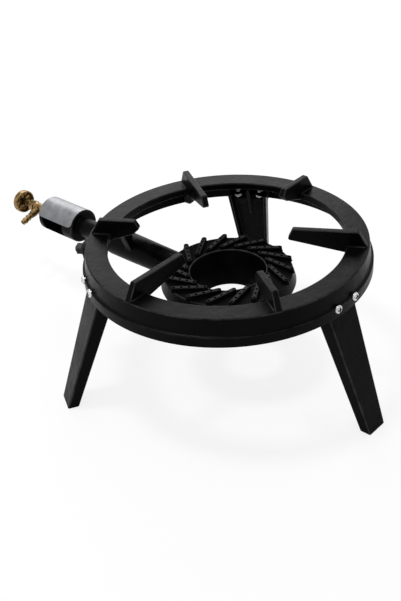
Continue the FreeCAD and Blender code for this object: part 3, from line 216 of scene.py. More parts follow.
# the parts joined into one mesh object in metres, doubled points at seams and poles merged;
# a part's third item, where it has one, marks the faces that take the second finish
def makePiece(name, parts, finish, body, slotName, *nodes, sharp=32):
    start = np.cumsum([0] + [len(part[0]) for part in parts])
    points = np.concatenate([part[0] for part in parts]) * millimetre
    faces = np.concatenate([part[1] + first for part, first in zip(parts, start)])
    marks = np.concatenate([part[2] if len(part) > 2 else np.zeros(len(part[1]), int)
                            for part in parts])
    mesh = bpy.data.meshes.new(name)
    mesh.vertices.add(len(points))
    mesh.vertices.foreach_set("co", points.astype(np.float32).ravel())
    mesh.loops.add(faces.size)
    mesh.loops.foreach_set("vertex_index", faces.astype(np.int32).ravel())
    mesh.polygons.add(len(faces))
    mesh.polygons.foreach_set("loop_start", np.arange(0, faces.size, 4, dtype=np.int32))
    mesh.polygons.foreach_set("material_index", marks.astype(np.int32))
    mesh.update(calc_edges=True)
    mesh.validate()
    tidy = bmesh.new()
    tidy.from_mesh(mesh)
    bmesh.ops.remove_doubles(tidy, verts=tidy.verts, dist=mergeReach)
    bmesh.ops.dissolve_degenerate(tidy, edges=tidy.edges, dist=sliverReach)
    tidy.to_mesh(mesh)
    tidy.free()
    markEdges(mesh)
    mesh.polygons.foreach_set("use_smooth", np.ones(len(mesh.polygons), bool))
    mesh.set_sharp_from_angle(angle=np.radians(sharp))
    piece = addObject(name, mesh)
    for one in finish if isinstance(finish, tuple) else (finish,):
        mesh.materials.append(one)
    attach(piece, body)
    if nodes:
        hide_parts(*nodes)
    print("piece:", name, len(mesh.polygons))


upright = ((0, 0, 0), (1, 0, 0), (0, 1, 0), (0, 0, 1))
tubeHeight = 132.0
alongTube = ((0, 0, tubeHeight), (0, 1, 0), (0, 0, 1), (-1, 0, 0))  # radius and distance outward


print("stage: finishes")


# a node of the given kind with its sockets set, and links made from (socket, source) pairs
def addNode(tree, kind, values=None, links=None, **settings):
    node = tree.nodes.new(kind)
    for key, value in settings.items():
        setattr(node, key, value)
    for key, value in (values or {}).items():
        node.inputs[key].default_value = value
    for key, source in (links or {}).items():
        tree.links.new(source, node.inputs[key])
    return node


# a fresh material: its tree, its shader and the object coordinates
def newFinish(name):
    finish = bpy.data.materials.new(name)
    finish.use_nodes = True
    tree = finish.node_tree
    shader = tree.nodes["Principled BSDF"]
    place = addNode(tree, "ShaderNodeTexCoord").outputs["Object"]
    return finish, tree, shader, place


# a noise over the object: its scale per metre, its detail and its roughness
def addNoise(tree, place, scale, detail, rough=0.5):
    return addNode(tree, "ShaderNodeTexNoise", {
        "Scale": scale, "Detail": detail, "Roughness": rough}, {"Vector": place}).outputs["Fac"]


# a normal lifted by a height, over another normal where one is given
def addBump(tree, height, strength, depth, under=None):
    links = {"Height": height} if under is None else {"Height": height, "Normal": under}
    return addNode(tree, "ShaderNodeBump", {"Strength": strength, "Distance": depth},
                   links).outputs["Normal"]


# the shader's sockets: sources linked to some and fixed values set on others
def setShader(tree, shader, sources, values):
    for key, source in sources.items():
        tree.links.new(source, shader.inputs[key])
    for key, value in values.items():
        shader.inputs[key].default_value = value


# a number mapped from one range to another
def remap(tree, source, fromLow, fromHigh, toLow, toHigh):
    return addNode(tree, "ShaderNodeMapRange", {
        "From Min": fromLow, "From Max": fromHigh, "To Min": toLow, "To Max": toHigh,
    }, {"Value": source}).outputs["Result"]


# a colour between two ends, chosen by a number
def blendColour(tree, factor, low, high):
    ramp = addNode(tree, "ShaderNodeValToRGB", links={"Fac": factor})
    ramp.color_ramp.elements[0].color = (*low, 1)
    ramp.color_ramp.elements[1].color = (*high, 1)
    return ramp.outputs["Color"]


castingLook = {
    "dark": (0.0008, 0.0008, 0.0009),
    "light": (0.0024, 0.0024, 0.0026),
    "roughLow": 0.24,
    "roughHigh": 0.38,
    # the painted highlight colour of edges that curve outward
    "edgeHighlightColour": (0.042, 0.042, 0.044),
    "gloss": 0.04,
    "grain": 900.0,  # of the sand surface under the paint, per metre
    "wave": 70.0,  # of the slow unevenness
    "patch": 26.0,  # of the patches in colour and gloss
    "highlightByWave": (0.38, 0.65),  # the share of an edge's painted highlight where the wave is low and high
    "patchTone": 0.35,  # how far the patches alone go up the ramp
    "grainDepth": 0.00022,
    "waveDepth": 0.0011,
}


# black paint on a sand casting: two noises lift the surface, a slow one shifts colour and gloss,
# and edges that curve outward are painted lighter in places as a painted highlight
def makeCasting():
    look = castingLook
    finish, tree, shader, place = newFinish("blackCasting")
    grain = addNoise(tree, place, look["grain"], 4.0, 0.62)
    wave = addNoise(tree, place, look["wave"], 5.0, 0.6)
    patch = addNoise(tree, place, look["patch"], 6.0, 0.65)
    # painted highlight: edges that curve outward take a light colour, more where the wave is high
    edge = addNode(tree, "ShaderNodeAttribute", attribute_name="edgeHighlight")
    unevenHighlight = addNode(tree, "ShaderNodeMath", links={
        0: edge.outputs["Fac"], 1: remap(tree, wave, 0.3, 0.62, *look["highlightByWave"])},
        operation="MULTIPLY")
    tone = addNode(tree, "ShaderNodeMath", links={
        0: unevenHighlight.outputs["Value"], 1: remap(tree, patch, 0.35, 0.68, 0, look["patchTone"])},
        operation="ADD")
    ramp = addNode(tree, "ShaderNodeValToRGB", links={"Fac": tone.outputs["Value"]})
    ramp.color_ramp.elements[0].color = (*look["dark"], 1)
    ramp.color_ramp.elements.new(look["patchTone"]).color = (*look["light"], 1)
    ramp.color_ramp.elements[2].color = (*look["edgeHighlightColour"], 1)
    slow = addBump(tree, wave, 0.55, look["waveDepth"])
    setShader(tree, shader, {
        "Base Color": ramp.outputs["Color"],
        "Roughness": remap(tree, patch, 0.35, 0.65, look["roughLow"], look["roughHigh"]),
        "Normal": addBump(tree, grain, 0.6, look["grainDepth"], slow),
    }, {"Specular IOR Level": look["gloss"]})
    return finish


sootLook = {
    "dark": (0.0008, 0.0008, 0.0008),
    "light": (0.0035, 0.0034, 0.0033),
    "cloud": 160.0,
    "depth": 0.0004,
    "rough": 0.62,
    "gloss": 0.02,
}


# matt black soot and scale between the burner's bars: one cloud moves its colour and lifts it
def makeSoot():
    look = sootLook
    finish, tree, shader, place = newFinish("sootedCasting")
    cloud = addNoise(tree, place, look["cloud"], 6.0)
    setShader(tree, shader, {
        "Base Color": blendColour(tree, cloud, look["dark"], look["light"]),
        "Normal": addBump(tree, cloud, 0.7, look["depth"]),
    }, {"Roughness": look["rough"], "Specular IOR Level": look["gloss"]})
    return finish


zincLook = {
    "low": (0.50, 0.50, 0.49),
    "high": (0.74, 0.74, 0.73),
    "cloud": (180.0, 4.0),  # scale per metre and detail
    "from": (0.35, 0.65),  # the cloud's values that give the two colours
    "rough": (0.24, 0.38),
    "metal": 1.0,
}
# blackened steel for the yoke bolts, and painted shade in the leg screws' cross recesses
darkSteelAndRecessShadeLook = {
    "low": (0.008, 0.008, 0.009),
    "high": (0.035, 0.035, 0.034),
    "cloud": (240.0, 5.0),
    "from": (0.42, 0.7),
    "rough": (0.40, 0.55),
    "metal": 0.7,
}


# a steel whose colour and gloss follow one cloud: bright zinc plating on the leg fasteners, and
# blackened steel, scuffed lighter where the cloud is high, on the yoke bolts; the blackened steel
# also paints the shade in the leg screws' cross recesses
def makeSteel(name, look):
    finish, tree, shader, place = newFinish(name)
    cloud = addNoise(tree, place, *look["cloud"])
    setShader(tree, shader, {
        "Base Color": blendColour(tree, remap(tree, cloud, *look["from"], 0, 1),
                                  look["low"], look["high"]),
        "Roughness": remap(tree, cloud, 0.3, 0.7, *look["rough"]),
    }, {"Metallic": look["metal"]})
    return finish


sheetLook = {
    "light": (0.25, 0.252, 0.255),
    "dark": (0.175, 0.18, 0.195),
    "spangle": 95.0,  # crystals, cloud and dents, per metre
    "cloud": 60.0,
    "wave": 45.0,
    "spangleShare": 0.45,
    "roughLow": 0.36,
    "roughHigh": 0.50,
    "dent": 0.0016,
}


# galvanised sheet: crystal cells and a cloud vary colour and gloss, a slow wave dents it
def makeSheet():
    look = sheetLook
    finish, tree, shader, place = newFinish("galvanisedSheet")
    crystal = addNode(tree, "ShaderNodeTexVoronoi", {"Scale": look["spangle"]}, {"Vector": place})
    cloud = addNoise(tree, place, look["cloud"], 5.0, 0.6)
    mixed = addNode(tree, "ShaderNodeMath", {1: look["spangleShare"]}, {
        0: crystal.outputs["Distance"], 2: cloud}, operation="MULTIPLY_ADD")
    tone = remap(tree, mixed.outputs["Value"], 0.45, 0.95, 0, 1)
    wave = addNoise(tree, place, look["wave"], 2.0)
    setShader(tree, shader, {
        "Base Color": blendColour(tree, tone, look["dark"], look["light"]),
        "Roughness": remap(tree, cloud, 0.3, 0.7, look["roughLow"], look["roughHigh"]),
        "Normal": addBump(tree, wave, 0.5, look["dent"]),
    }, {"Metallic": 1.0})
    return finish


brassLook = {
    "bright": (0.33, 0.215, 0.088),
    "dull": (0.050, 0.030, 0.012),
    "cloud": 130.0,
    "grain": 1500.0,
    "grainDepth": 0.0002,
    "roughLow": 0.24,
    "roughHigh": 0.42,
}


# brass dulled by handling: a cloud darkens and roughens it in patches over a cast grain
def makeBrass():
    look = brassLook
    finish, tree, shader, place = newFinish("brass")
    cloud = addNoise(tree, place, look["cloud"], 6.0, 0.62)
    grain = addNoise(tree, place, look["grain"], 3.0)
    setShader(tree, shader, {
        "Base Color": blendColour(tree, remap(tree, cloud, 0.36, 0.62, 0, 1),
                                  look["dull"], look["bright"]),
        "Roughness": remap(tree, cloud, 0.35, 0.65, look["roughHigh"], look["roughLow"]),
        "Normal": addBump(tree, grain, 0.35, look["grainDepth"]),
    }, {"Metallic": 1.0})
    return finish


rubberLook = {"dark": (0.025,) * 3, "light": (0.05,) * 3, "cloud": 300.0, "rough": 0.7}


# matt black sealing rubber with a faint cloud
def makeRubber():
    look = rubberLook
    finish, tree, shader, place = newFinish("sealingRubber")
    cloud = addNoise(tree, place, look["cloud"], 3.0)
    setShader(tree, shader, {
        "Base Color": blendColour(tree, cloud, look["dark"], look["light"]),
    }, {"Roughness": look["rough"]})
    return finish


casting, soot, sheet, brass, rubber = (
    makeCasting(), makeSoot(), makeSheet(), makeBrass(), makeRubber())
zinc, darkSteelAndRecessShade = makeSteel("zincSteel", zincLook), makeSteel("darkSteelAndRecessShade", darkSteelAndRecessShadeLook)

print("stage: pot ring")

ring = {
    "section": [(168.5, 215), (200, 215), (202.7, 191.3), (206, 190.1), (206, 175),
                (201.8, 175), (195.8, 210), (173.5, 210), (173.5, 204.5), (168.5, 204.5)],
    "rounds": [2.0, 1.9, 1.6, 1.3, 0.9, 0.9, 3.0, 2.5, 1.0, 1.2],
    "long": [(94, 237.5), (185, 237.5), (198.4, 214.5), (198.4, 204.5), (171, 204.5),
             (86.6, 221)],
    "longAt": (30, 150, 270),
    "short": [(131.5, 237.5), (185, 237.5), (198.4, 214.5), (198.4, 204.5), (171, 204.5),
              (134, 217), (125, 226)],
    "shortAt": (90, 210, 330),
    "prongTop": 237.5,
    "prongRound": 3.0,
    "prongHalf": 4.5,
    "prongEdge": 1.3,
    "prongDraft": 0.018,  # widening for each millimetre down
    "fillet": 2.4,
    "footPath": [(195.5, 215), (168.5, 215), (168.5, 206.5)],
    "lugAt": (149, 211),
    "lug": [(-13, 175.2), (13, 175.2), (13, 201), (-13, 201)],
    "lugRound": 5.0,
    "lugFloor": 175.1,
    "lugDepth": (200.5, 204, 208.5, 210.2, 211.1, 211.4),
    "lugDraw": (-3.2, -2.0, -0.4, 0.2, 0.8, 1.8),
}


# a prong: its side outline carried across, a little wider towards the bottom
def prong(outline, degrees):
    shape = roundCorners(outline, ring["prongRound"], 6)

    def place(flat, across):
        below = ring["prongTop"] - flat[:, 1]
        spread = across * (1 + below * ring["prongDraft"] / ring["prongHalf"])
        return onRadius(flat[:, 0], spread, flat[:, 1], degrees)
    return plate(shape, ring["prongHalf"], ring["prongEdge"], place)


# the bead at a prong's foot: a hollow quarter arc carried along the ring's top and down its
# inner wall; across = foot + f (1 - cos a), out of the surface = f (1 - sin a); its hidden edges
# are sunk in the ring and the prong
def footBead(degrees, side):
    sink, lap = 0.3, 0.5
    path = roundCorners(ring["footPath"], 2.0, 6, closed=False)
    path = np.concatenate([np.linspace(path[0], path[1], 6), path[2:]])
    step = unitRows(np.gradient(path, axis=0))
    away = np.stack([step[:, 1], -step[:, 0]], -1)
    angle = np.linspace(0, np.pi / 2, 6)
    size = ring["fillet"] * np.sin(np.linspace(0.25, 1, len(path)) * np.pi * 0.5)[:, None]
    out = np.concatenate([size * (1 - np.sin(angle)), size * 0 - sink], 1)
    foot = ring["prongHalf"] + (ring["prongTop"] - path[:, 1:]) * ring["prongDraft"] - 0.05
    across = np.concatenate([foot + size * (1 - np.cos(angle)), foot - lap], 1)
    radius, height, across = (np.concatenate([grid, grid[:, -1:]], 1) for grid in (
        path[:, :1] + away[:, :1] * out, path[:, 1:] + away[:, 1:] * out, across))
    return skin(onRadius(np.sqrt(radius ** 2 - across ** 2), across * side, height, degrees))


# a lug for the yoke bolt: one outline at rising radii, drawn in or spread at each, and held above
# the ring's lower edge
def lug(degrees):
    shape = roundCorners(ring["lug"], ring["lugRound"], 6)
    rows = []
    for radius, draw in zip(ring["lugDepth"], ring["lugDraw"]):
        across, height = inset(shape, draw).T
        rows.append(onRadius(radius, across, np.maximum(height, ring["lugFloor"]), degrees))
    return skin(rows)


# the ring's section turned once round, then the prongs, their beads and the lugs
def makePotRing():
    parts = [turned(roundCorners(ring["section"], ring["rounds"], 6), upright, 320)]
    parts += [prong(ring[kind], degrees) for kind in ("long", "short")
              for degrees in ring[kind + "At"]]
    parts += [footBead(degrees, side) for degrees in ring["longAt"] + ring["shortAt"]
              for side in (1, -1)]
    parts += [lug(degrees) for degrees in ring["lugAt"]]
    makePiece("potRingCasting", parts, casting, "stove", "black_casting", "pot_ring")


makePotRing()

print("stage: legs")

leg = {
    "foot": {"face": 261.0, "half": 17.5, "depth": 16.5},
    "top": {"face": 192.5, "half": 30.0, "depth": 24.0},
    "height": 192.0,
    "web": 5.2,
    "flange": 4.5,
    "corners": [1.3, 2.4, 2.4, 1.3, 1.3, 3.0, 3.0, 1.3],
    "cleared": 192.1,  # radius to which the web is cut back behind the nuts
    "endRise": (0, 0.15, 0.5, 1.1, 1.8, 2.3),  # levels from an end, and the inset there
    "endDraw": (1.5, 1.1, 0.55, 0.15, 0, 0),
    "pad": [(191.8, 175), (200.6, 175), (197.2, 203), (191.8, 203)],
    "padTurn": 8.5,
    "rib": [(216, 118), (194.4, 177), (194.4, 199), (174.5, 199)],
    "ribHalf": 2.5,
    "names": {"leg_right": 0, "leg_rear": 120, "leg_front": 240},
}


# a leg's channel section at a level, both sizes going straight from foot to top; the outline
# runs round the outside and back round the inside, and the web thins where the nuts sit
def channelRow(level, draw, degrees):
    share = level / leg["height"]
    face, half, depth = (leg["foot"][k] + (leg["top"][k] - leg["foot"][k]) * share
                         for k in ("face", "half", "depth"))
    lip = half - leg["flange"]
    web = max(min(leg["web"], face - leg["cleared"]), 0.5)
    shape = roundCorners([(-half, depth), (-half, 0), (half, 0), (half, depth),
                          (lip, depth), (lip, web), (-lip, web), (-lip, depth)],
                         leg["corners"], 5)
    shape = np.roll(shape, -4, 0)
    across, inward = inset(shape, draw).T
    return onRadius(face - inward, across, level, degrees)


# the channel with both ends' edges drawn in, the pad on the ring's wall and the rib inside
def makeLeg(node, degrees):
    rise, draw, height = np.array(leg["endRise"]), np.array(leg["endDraw"]), leg["height"]
    level = np.concatenate([rise, np.linspace(20, height - 20, 7), height - rise[::-1]])
    drawn = np.concatenate([draw, np.zeros(7), draw[::-1]])
    parts = [skin([channelRow(z, d, degrees) for z, d in zip(level, drawn)])]
    pad = roundCorners(leg["pad"], 0.8, 4)
    arc = (degrees - leg["padTurn"], degrees + leg["padTurn"])
    parts.append(turned(pad, upright, 24, arc=arc))
    rib = roundCorners(leg["rib"], 3.0, 5)
    parts.append(plate(rib, leg["ribHalf"], 0.9, lambda flat, across: onRadius(
        flat[:, 0], across, flat[:, 1], degrees)))
    makePiece(node.replace("_", "") + "Casting", parts, casting, "stove", "black_casting", node)


for node, degrees in leg["names"].items():
    makeLeg(node, degrees)

print("stage: fasteners")

fasteners = {
    "legAt": [leg["names"][n] + side for n in leg["names"] for side in (-5.2, 5.2)],
    "height": 188.0,
    "headFace": 206.0,
    "headDepth": 4.0,
    "headRadius": 6.2,
    "headDrop": 1.9,  # of the dome from its middle to the rim's circle
    "crossHalf": 0.85,
    "crossReach": 3.4,
    "crossDepth": 2.0,
    "legShank": (3.0, -206.5, -182.6),  # radius, then where it starts and ends
    "legWasher": (3.2, 6.0, 190.0, 191.6),  # inner and outer radius, then the same
    "legNut": (10.0, 185.0, 190.0, 3.05),  # across flats, the same, then the bore
    "yokeAt": (149, 211),
    "yokeHead": (16.0, 183.9, 190.1, 0.02),
    "yokeShank": (5.0, 186.0, 224.4),
    "yokeWasher": (5.3, 10.0, 211.5, 213.5),
    "yokeNut": (16.0, 213.5, 221.9, 5.05),
}


# local axes of a fastener on the ring: across, up and outward
def outwardAxes(degrees, reach, height):
    along, side = ringAxes(degrees)
    return along * reach + np.array([0, 0, height]), side, np.array([0, 0, 1.0]), along


# a domed head with a cross recess: a square patch of sorted lines whose floor drops inside the
# cross, then rings that go from the square to the circle and down the rim; the cross's faces are
# marked for the dark finish that paints the recess's shade
def crossHead(degrees):
    f = fasteners
    centre, e1, e2, e3 = outwardAxes(degrees, f["headFace"], f["height"])
    rim, half, reach, drop = f["headRadius"], f["crossHalf"], f["crossReach"], f["headDrop"]
    line = np.array([-4.2, -reach - 0.35, -reach, -2.0, -half - 0.3, -half, 0])
    line = np.concatenate([line, -line[-2::-1]])
    x, y = np.meshgrid(line, line, indexing="ij")
    dome = f["headDepth"] - drop * (x ** 2 + y ** 2) / rim ** 2
    ax, ay = np.abs(x) + 1e-6, np.abs(y) + 1e-6
    short, long = half + 1e-3, reach + 1e-3
    inside = ((ax <= short) & (ay <= long)) | ((ay <= short) & (ax <= long))
    height = np.where(inside, f["headDepth"] - f["crossDepth"], dome)
    patch = np.stack([x, y, height], -1).reshape(-1, 3)
    n = len(line)
    square = patch[gridRim(n, n), :2]
    circle = unitRows(square)
    share = np.linspace(0, 1, 5)[:, None, None]
    flat = square * (1 - share) + circle * (rim - 1.0) * share
    ringHeight = f["headDepth"] - drop * (flat ** 2).sum(-1) / rim ** 2
    top = np.concatenate([flat, ringHeight[..., None]], -1)
    side = [(rim - 0.45, 1.9), (rim - 0.12, 1.35), (rim, 0.8), (rim, 0.0), (0.0, 0.0)]
    wall = np.stack([np.concatenate([circle * r, np.full((len(circle), 1), z)], 1)
                     for r, z in side])
    rows = np.concatenate([top, wall])
    skirt = gridFaces(len(rows), len(circle), closeCols=True)
    local = np.concatenate([patch, rows.reshape(-1, 3)])
    cells = gridFaces(n, n)
    # the faces in the cross take the dark finish: painted shade in the recess
    marks = np.concatenate([inside.ravel()[cells].any(1), np.zeros(len(skirt), bool)])
    faces = np.concatenate([cells, skirt[:, ::-1] + len(patch)])
    points = centre + local[:, :1] * e1 + local[:, 1:2] * e2 + local[:, 2:] * e3
    return (*outward(points, faces), marks)


# a nut from rows of one outline each: hexagon radius = flats / 2 / cos(angle from the flat's
# middle), its ends cut back where it passes the chamfer circle, height falling by tan 30
def nut(axes, flats, low, high, bore, count=72):
    centre, e1, e2, e3 = (np.asarray(v, float) for v in axes)
    angle = np.arange(count) * 2 * np.pi / count
    six = flats / 2 / np.cos((angle + np.pi / 6) % (np.pi / 3) - np.pi / 6)
    cut = np.maximum(six - flats / 2 * 0.985, 0) * np.tan(np.radians(30))
    flat = np.full(count, flats / 2 * 0.93)
    hole = np.full(count, bore)
    rows = [(hole, low + 0 * cut), (flat, low + 0 * cut), (six * 0.985, low + cut),
            (six, low + cut + 0.12), (six, high - cut - 0.12), (six * 0.985, high - cut),
            (flat, high + 0 * cut), (hole + 0.45, high + 0 * cut), (hole, high - 0.45 + 0 * cut)]
    ray = np.cos(angle)[:, None] * e1 + np.sin(angle)[:, None] * e2
    points = np.stack([centre + r[:, None] * ray + z[:, None] * e3 for r, z in rows])
    return outward(points.reshape(-1, 3), gridFaces(len(rows), count, True, True))


# a plain washer with broken edges
def washer(axes, inner, outer, low, high, count=64):
    section = roundCorners([(inner, low), (outer, low), (outer, high), (inner, high)], 0.3, 3,
                           hold=0.05)
    return turned(section, axes, count)


# a bolt's shank with a chamfered end
def shank(axes, radius, low, high, count=32):
    return turned([(0, low), (radius, low), (radius, high - 0.8), (radius - 0.7, high),
                   (0, high)], axes, count, closed=False)


# at each leg bolt a screw, a washer and a nut, at each yoke bolt a head with its shank, a washer
# and a nut; the leg screws' shanks run inward, and their cross recesses take the dark steel as
# painted shade
def makeFasteners():
    f = fasteners
    screws, washers, nuts = [], [], []
    for degrees in f["legAt"]:
        axes = outwardAxes(degrees, 0, f["height"])
        flip = (*axes[:3], -axes[3])
        screws += [crossHead(degrees), shank(flip, *f["legShank"])]
        washers.append(washer(axes, *f["legWasher"]))
        nuts.append(nut(axes, *f["legNut"]))
    # the leg screws' second finish is the dark steel, painted shade in their cross recesses
    made = [("legScrews", screws, (zinc, darkSteelAndRecessShade), "leg_bolts"),
            ("legWashers", washers, zinc, "leg_washers"), ("legNuts", nuts, zinc, "leg_nuts")]
    bolts, washers, nuts = [], [], []
    for degrees in f["yokeAt"]:
        axes = outwardAxes(degrees, 0, f["height"])
        bolts += [nut(axes, *f["yokeHead"]), shank(axes, *f["yokeShank"])]
        washers.append(washer(axes, *f["yokeWasher"]))
        nuts.append(nut(axes, *f["yokeNut"]))
    made += [("yokeBolts", bolts, darkSteelAndRecessShade, "yoke_bolts"),
             ("yokeWashers", washers, darkSteelAndRecessShade, "yoke_washers"),
             ("yokeNuts", nuts, darkSteelAndRecessShade, "yoke_nuts")]
    for name, parts, finish, node in made:
        makePiece(name, parts, finish, "stove", "zinc_steel", node)


makeFasteners()

print("stage: burner")

burner = {
    "section": [(55.5, 163), (93, 163), (98, 146), (84, 111), (41, 111)],
    "rounds": [1.0, 2.5, 3.5, 2.5, 2.5],
    "barCount": 18,
    "barTurn": 13.6,
    "barSwirl": 24.4,
    "barOuter": 90.8,
    "barInner": 60.2,
    "barHalf": 3.8,
    "barTop": 169.0,
    "barRound": 1.1,
    "barLevels": (165.3, 164.4, 163.5, 162.0),  # below the round, and the flare there
    "barFlare": (0, 0.08, 0.4, 1.1),
    "ports": 5,
    "portRadius": 1.6,
    "portRim": 0.55,
    "portDepth": 5.6,
    "bead": 1.1,  # radius of the bead round the middle hole
    "beadAt": (55.9, 163.1),
    "sootAbove": 162.4,  # the soot's level and ring
    "sootRing": (57, 92),
    "tube": [(20.5, 98), (22, 193), (22, 232), (15.5, 288), (15.5, 296), (16, 311), (27, 311)],
    "tubeRounds": [1, 30, 30, 20, 6, 1.5, 4.5],
    "tubeStart": 66.5,
    "tubeInside": [(27.0, 318.0), (23.5, 320.0), (11.5, 311.0), (11.5, 300.0), (0.0, 300.0)],
    "chamberOut": 27.0,
    "chamberIn": 23.5,
    "shellFrom": 317.5,
    "shellTo": (383.5, 387.0),
    "windowAlong": (334.0, 381.0),
    "windowHigh": (113.0, 143.0),
    "post": [(-8, 132), (-20.5, 132), (-20.5, 143), (-34, 181), (-34, 196.5), (-12, 196.5),
             (-12, 158), (-8, 149.4)],
    "postRounds": [1, 1, 6, 6, 2, 2, 6, 2],
    "postAt": -187.0,
    "postHalf": 6.0,
    "arm": [(190.5, 179.5), (200.6, 179.5), (197.8, 196.5), (190.5, 196.5)],
    "yokeArc": (143, 217),
    "end": [(23.5, 382), (7.2, 382), (7.2, 398.9), (11.5, 399), (12.5, 390), (27, 390),
            (27, 386), (23.5, 386)],
    "endRounds": [0.3, 0.3, 0.3, 0.8, 1.5, 3.0, 0.01, 0.01],
}


# one port's share of a bar's top: rows from the port's rim to the share's border, which is the
# nearer of the bar's side and the middle line to the next port, or the bar's round end; height
# falls off by a quarter circle near the bar's edge
def portCell(place, half, gap, startRound, endRound):
    b = burner
    corner = np.arctan2(half, gap)
    angle = anglesThrough((-corner, corner, np.pi - corner, np.pi + corner,
                           2 * np.pi - corner), (7, 7, 7, 7))
    cosine, sine = np.cos(angle), np.sin(angle)
    border = np.minimum(gap / np.maximum(np.abs(cosine), 1e-6),
                        half / np.maximum(np.abs(sine), 1e-6))
    border = np.where((cosine > 0) & endRound, half, border)
    border = np.where((cosine < 0) & startRound, half, border)
    share = np.array([0, 0.12, 0.5, 0.75, 0.9, 1.0])[:, None]
    radius = (b["portRadius"] + b["portRim"]) * (1 - share) + border * share
    x, y = radius * cosine, radius * sine
    fromEdge = half - np.abs(y)
    rounded = ((x > 0) & endRound) | ((x < 0) & startRound)
    fromEdge = np.where(rounded, half - radius, fromEdge)
    away = np.clip(b["barRound"] - fromEdge, 0, b["barRound"])
    height = b["barTop"] - b["barRound"] + np.sqrt(b["barRound"] ** 2 - away ** 2)
    wallRadius = np.array([b["portRadius"] * 0.98, b["portRadius"]])[:, None]
    wallHeight = np.array([b["barTop"] - b["portDepth"], b["barTop"] - b["portRim"]])[:, None]
    bottom = np.zeros((1, len(angle)))
    x = np.concatenate([bottom, wallRadius * cosine, x])
    y = np.concatenate([bottom, wallRadius * sine, y])
    height = np.concatenate([bottom + wallHeight[0], wallHeight + 0 * angle, height])
    points = np.stack([x + place, y, height], -1)
    return points.reshape(-1, 3), gridFaces(len(x), len(angle), closeCols=True)


# one bar along x: its ported top and its wall, a slot outline that flares at the foot
def bar():
    b = burner
    half, count = b["barHalf"], b["ports"]
    swirl = np.radians(b["barSwirl"])
    outer = np.array([b["barOuter"], 0.0])
    inner = b["barInner"] * np.array([np.cos(swirl), np.sin(swirl)])
    length = np.linalg.norm(outer - inner)
    gap = length / (count - 1) / 2
    cells = [portCell(2 * gap * k, half, gap, k == 0, k == count - 1) for k in range(count)]
    angle = np.linspace(-np.pi / 2, np.pi / 2, 13)
    cap = np.stack([np.cos(angle), np.sin(angle)], -1)
    way = np.concatenate([cap, -cap])
    middle = np.concatenate([np.tile([length, 0.0], (13, 1)), np.zeros((13, 2))])
    rows = np.stack([np.concatenate([middle + way * (half + grow), np.full((26, 1), level)], 1)
                     for grow, level in zip((0,) + b["barFlare"],
                                            (b["barTop"] - b["barRound"],) + b["barLevels"])])
    wall = (rows.reshape(-1, 3), gridFaces(len(rows), 26, closeCols=True)[:, ::-1])
    along = unitRows((outer - inner)[None])[0]
    across = np.array([-along[1], along[0]])
    parts = []
    for points, faces in cells + [wall]:
        flat = inner + points[:, :1] * along + points[:, 1:2] * across
        parts.append((np.concatenate([flat, points[:, 2:]], 1), faces))
    return parts


# the bars: one bar's points turned round the burner; the faces below the round top are marked
def bars():
    b = burner
    angle = np.radians(b["barTurn"] + np.arange(b["barCount"]) * 360 / b["barCount"])
    cosine, sine = np.cos(angle)[:, None], np.sin(angle)[:, None]
    made = []
    for points, faces in bar():
        wall = points[faces][:, :, 2].max(1) < b["barTop"] - b["barRound"] + 0.01
        x, y, z = points.T
        whole = np.stack([x * cosine - y * sine, x * sine + y * cosine, z + 0 * cosine], -1)
        shift = (np.arange(len(angle)) * len(points))[:, None, None]
        made.append((whole.reshape(-1, 3), (faces[None] + shift).reshape(-1, 4),
                     np.tile(wall, len(angle))))
    return made


# the air chamber: an outer and an inner skin on one grid of distance and angle whose lines lie
# on the windows' edges; cells in a window are left out and the border between is walled
def chamberShell():
    b = burner
    first, last = b["windowAlong"]
    along = np.concatenate([np.linspace(b["shellFrom"], first, 5),
                            np.linspace(first, last, 9)[1:], b["shellTo"]])
    low, high = (z - tubeHeight for z in b["windowHigh"])
    sides = []
    for radius in (b["chamberOut"], b["chamberIn"]):
        a, c = np.arcsin(low / radius), np.arcsin(high / radius)
        sides.append(anglesThrough((a, c, np.pi - c, np.pi - a, 2 * np.pi + a),
                                   (13, 17, 13, 13)))
    size = len(sides[0])
    layers = []
    for radius, angle in zip((b["chamberOut"], b["chamberIn"]), sides):
        x, y, z = np.broadcast_arrays(-along[:, None], radius * np.cos(angle),
                                      tubeHeight + radius * np.sin(angle))
        layers.append(np.stack([x, y, z], -1).reshape(-1, 3))
    row, col = np.meshgrid(np.arange(len(along) - 1), np.arange(size), indexing="ij")
    middle = (along[:-1] + along[1:]) / 2
    side = np.arange(size)  # a window takes 12 columns, and 16 lie between the two
    opened = (((middle > first) & (middle < last))[:, None]
              & ((side < 12) | ((side >= 28) & (side < 40)))[None])
    total = len(along) * size
    quads = gridFaces(len(along), size, closeCols=True)
    solid = ~opened.ravel()
    outer = quads[solid]
    inner = quads[solid][:, ::-1] + total

    def at(r, c):
        return r * size + c % size
    reveals = []
    for shift, axis, *ends in ((1, 1, (0, 0), (1, 0)), (-1, 1, (1, 1), (0, 1)),
                               (1, 0, (0, 1), (0, 0)), (-1, 0, (1, 0), (1, 1))):
        edge = opened & ~np.roll(opened, shift, axis)
        p, q = (at(row + down, col + right)[edge] for down, right in ends)
        reveals.append(np.stack([p, q, q + total, p + total], -1))
    return outward(np.concatenate(layers), np.concatenate([outer, inner] + reveals))


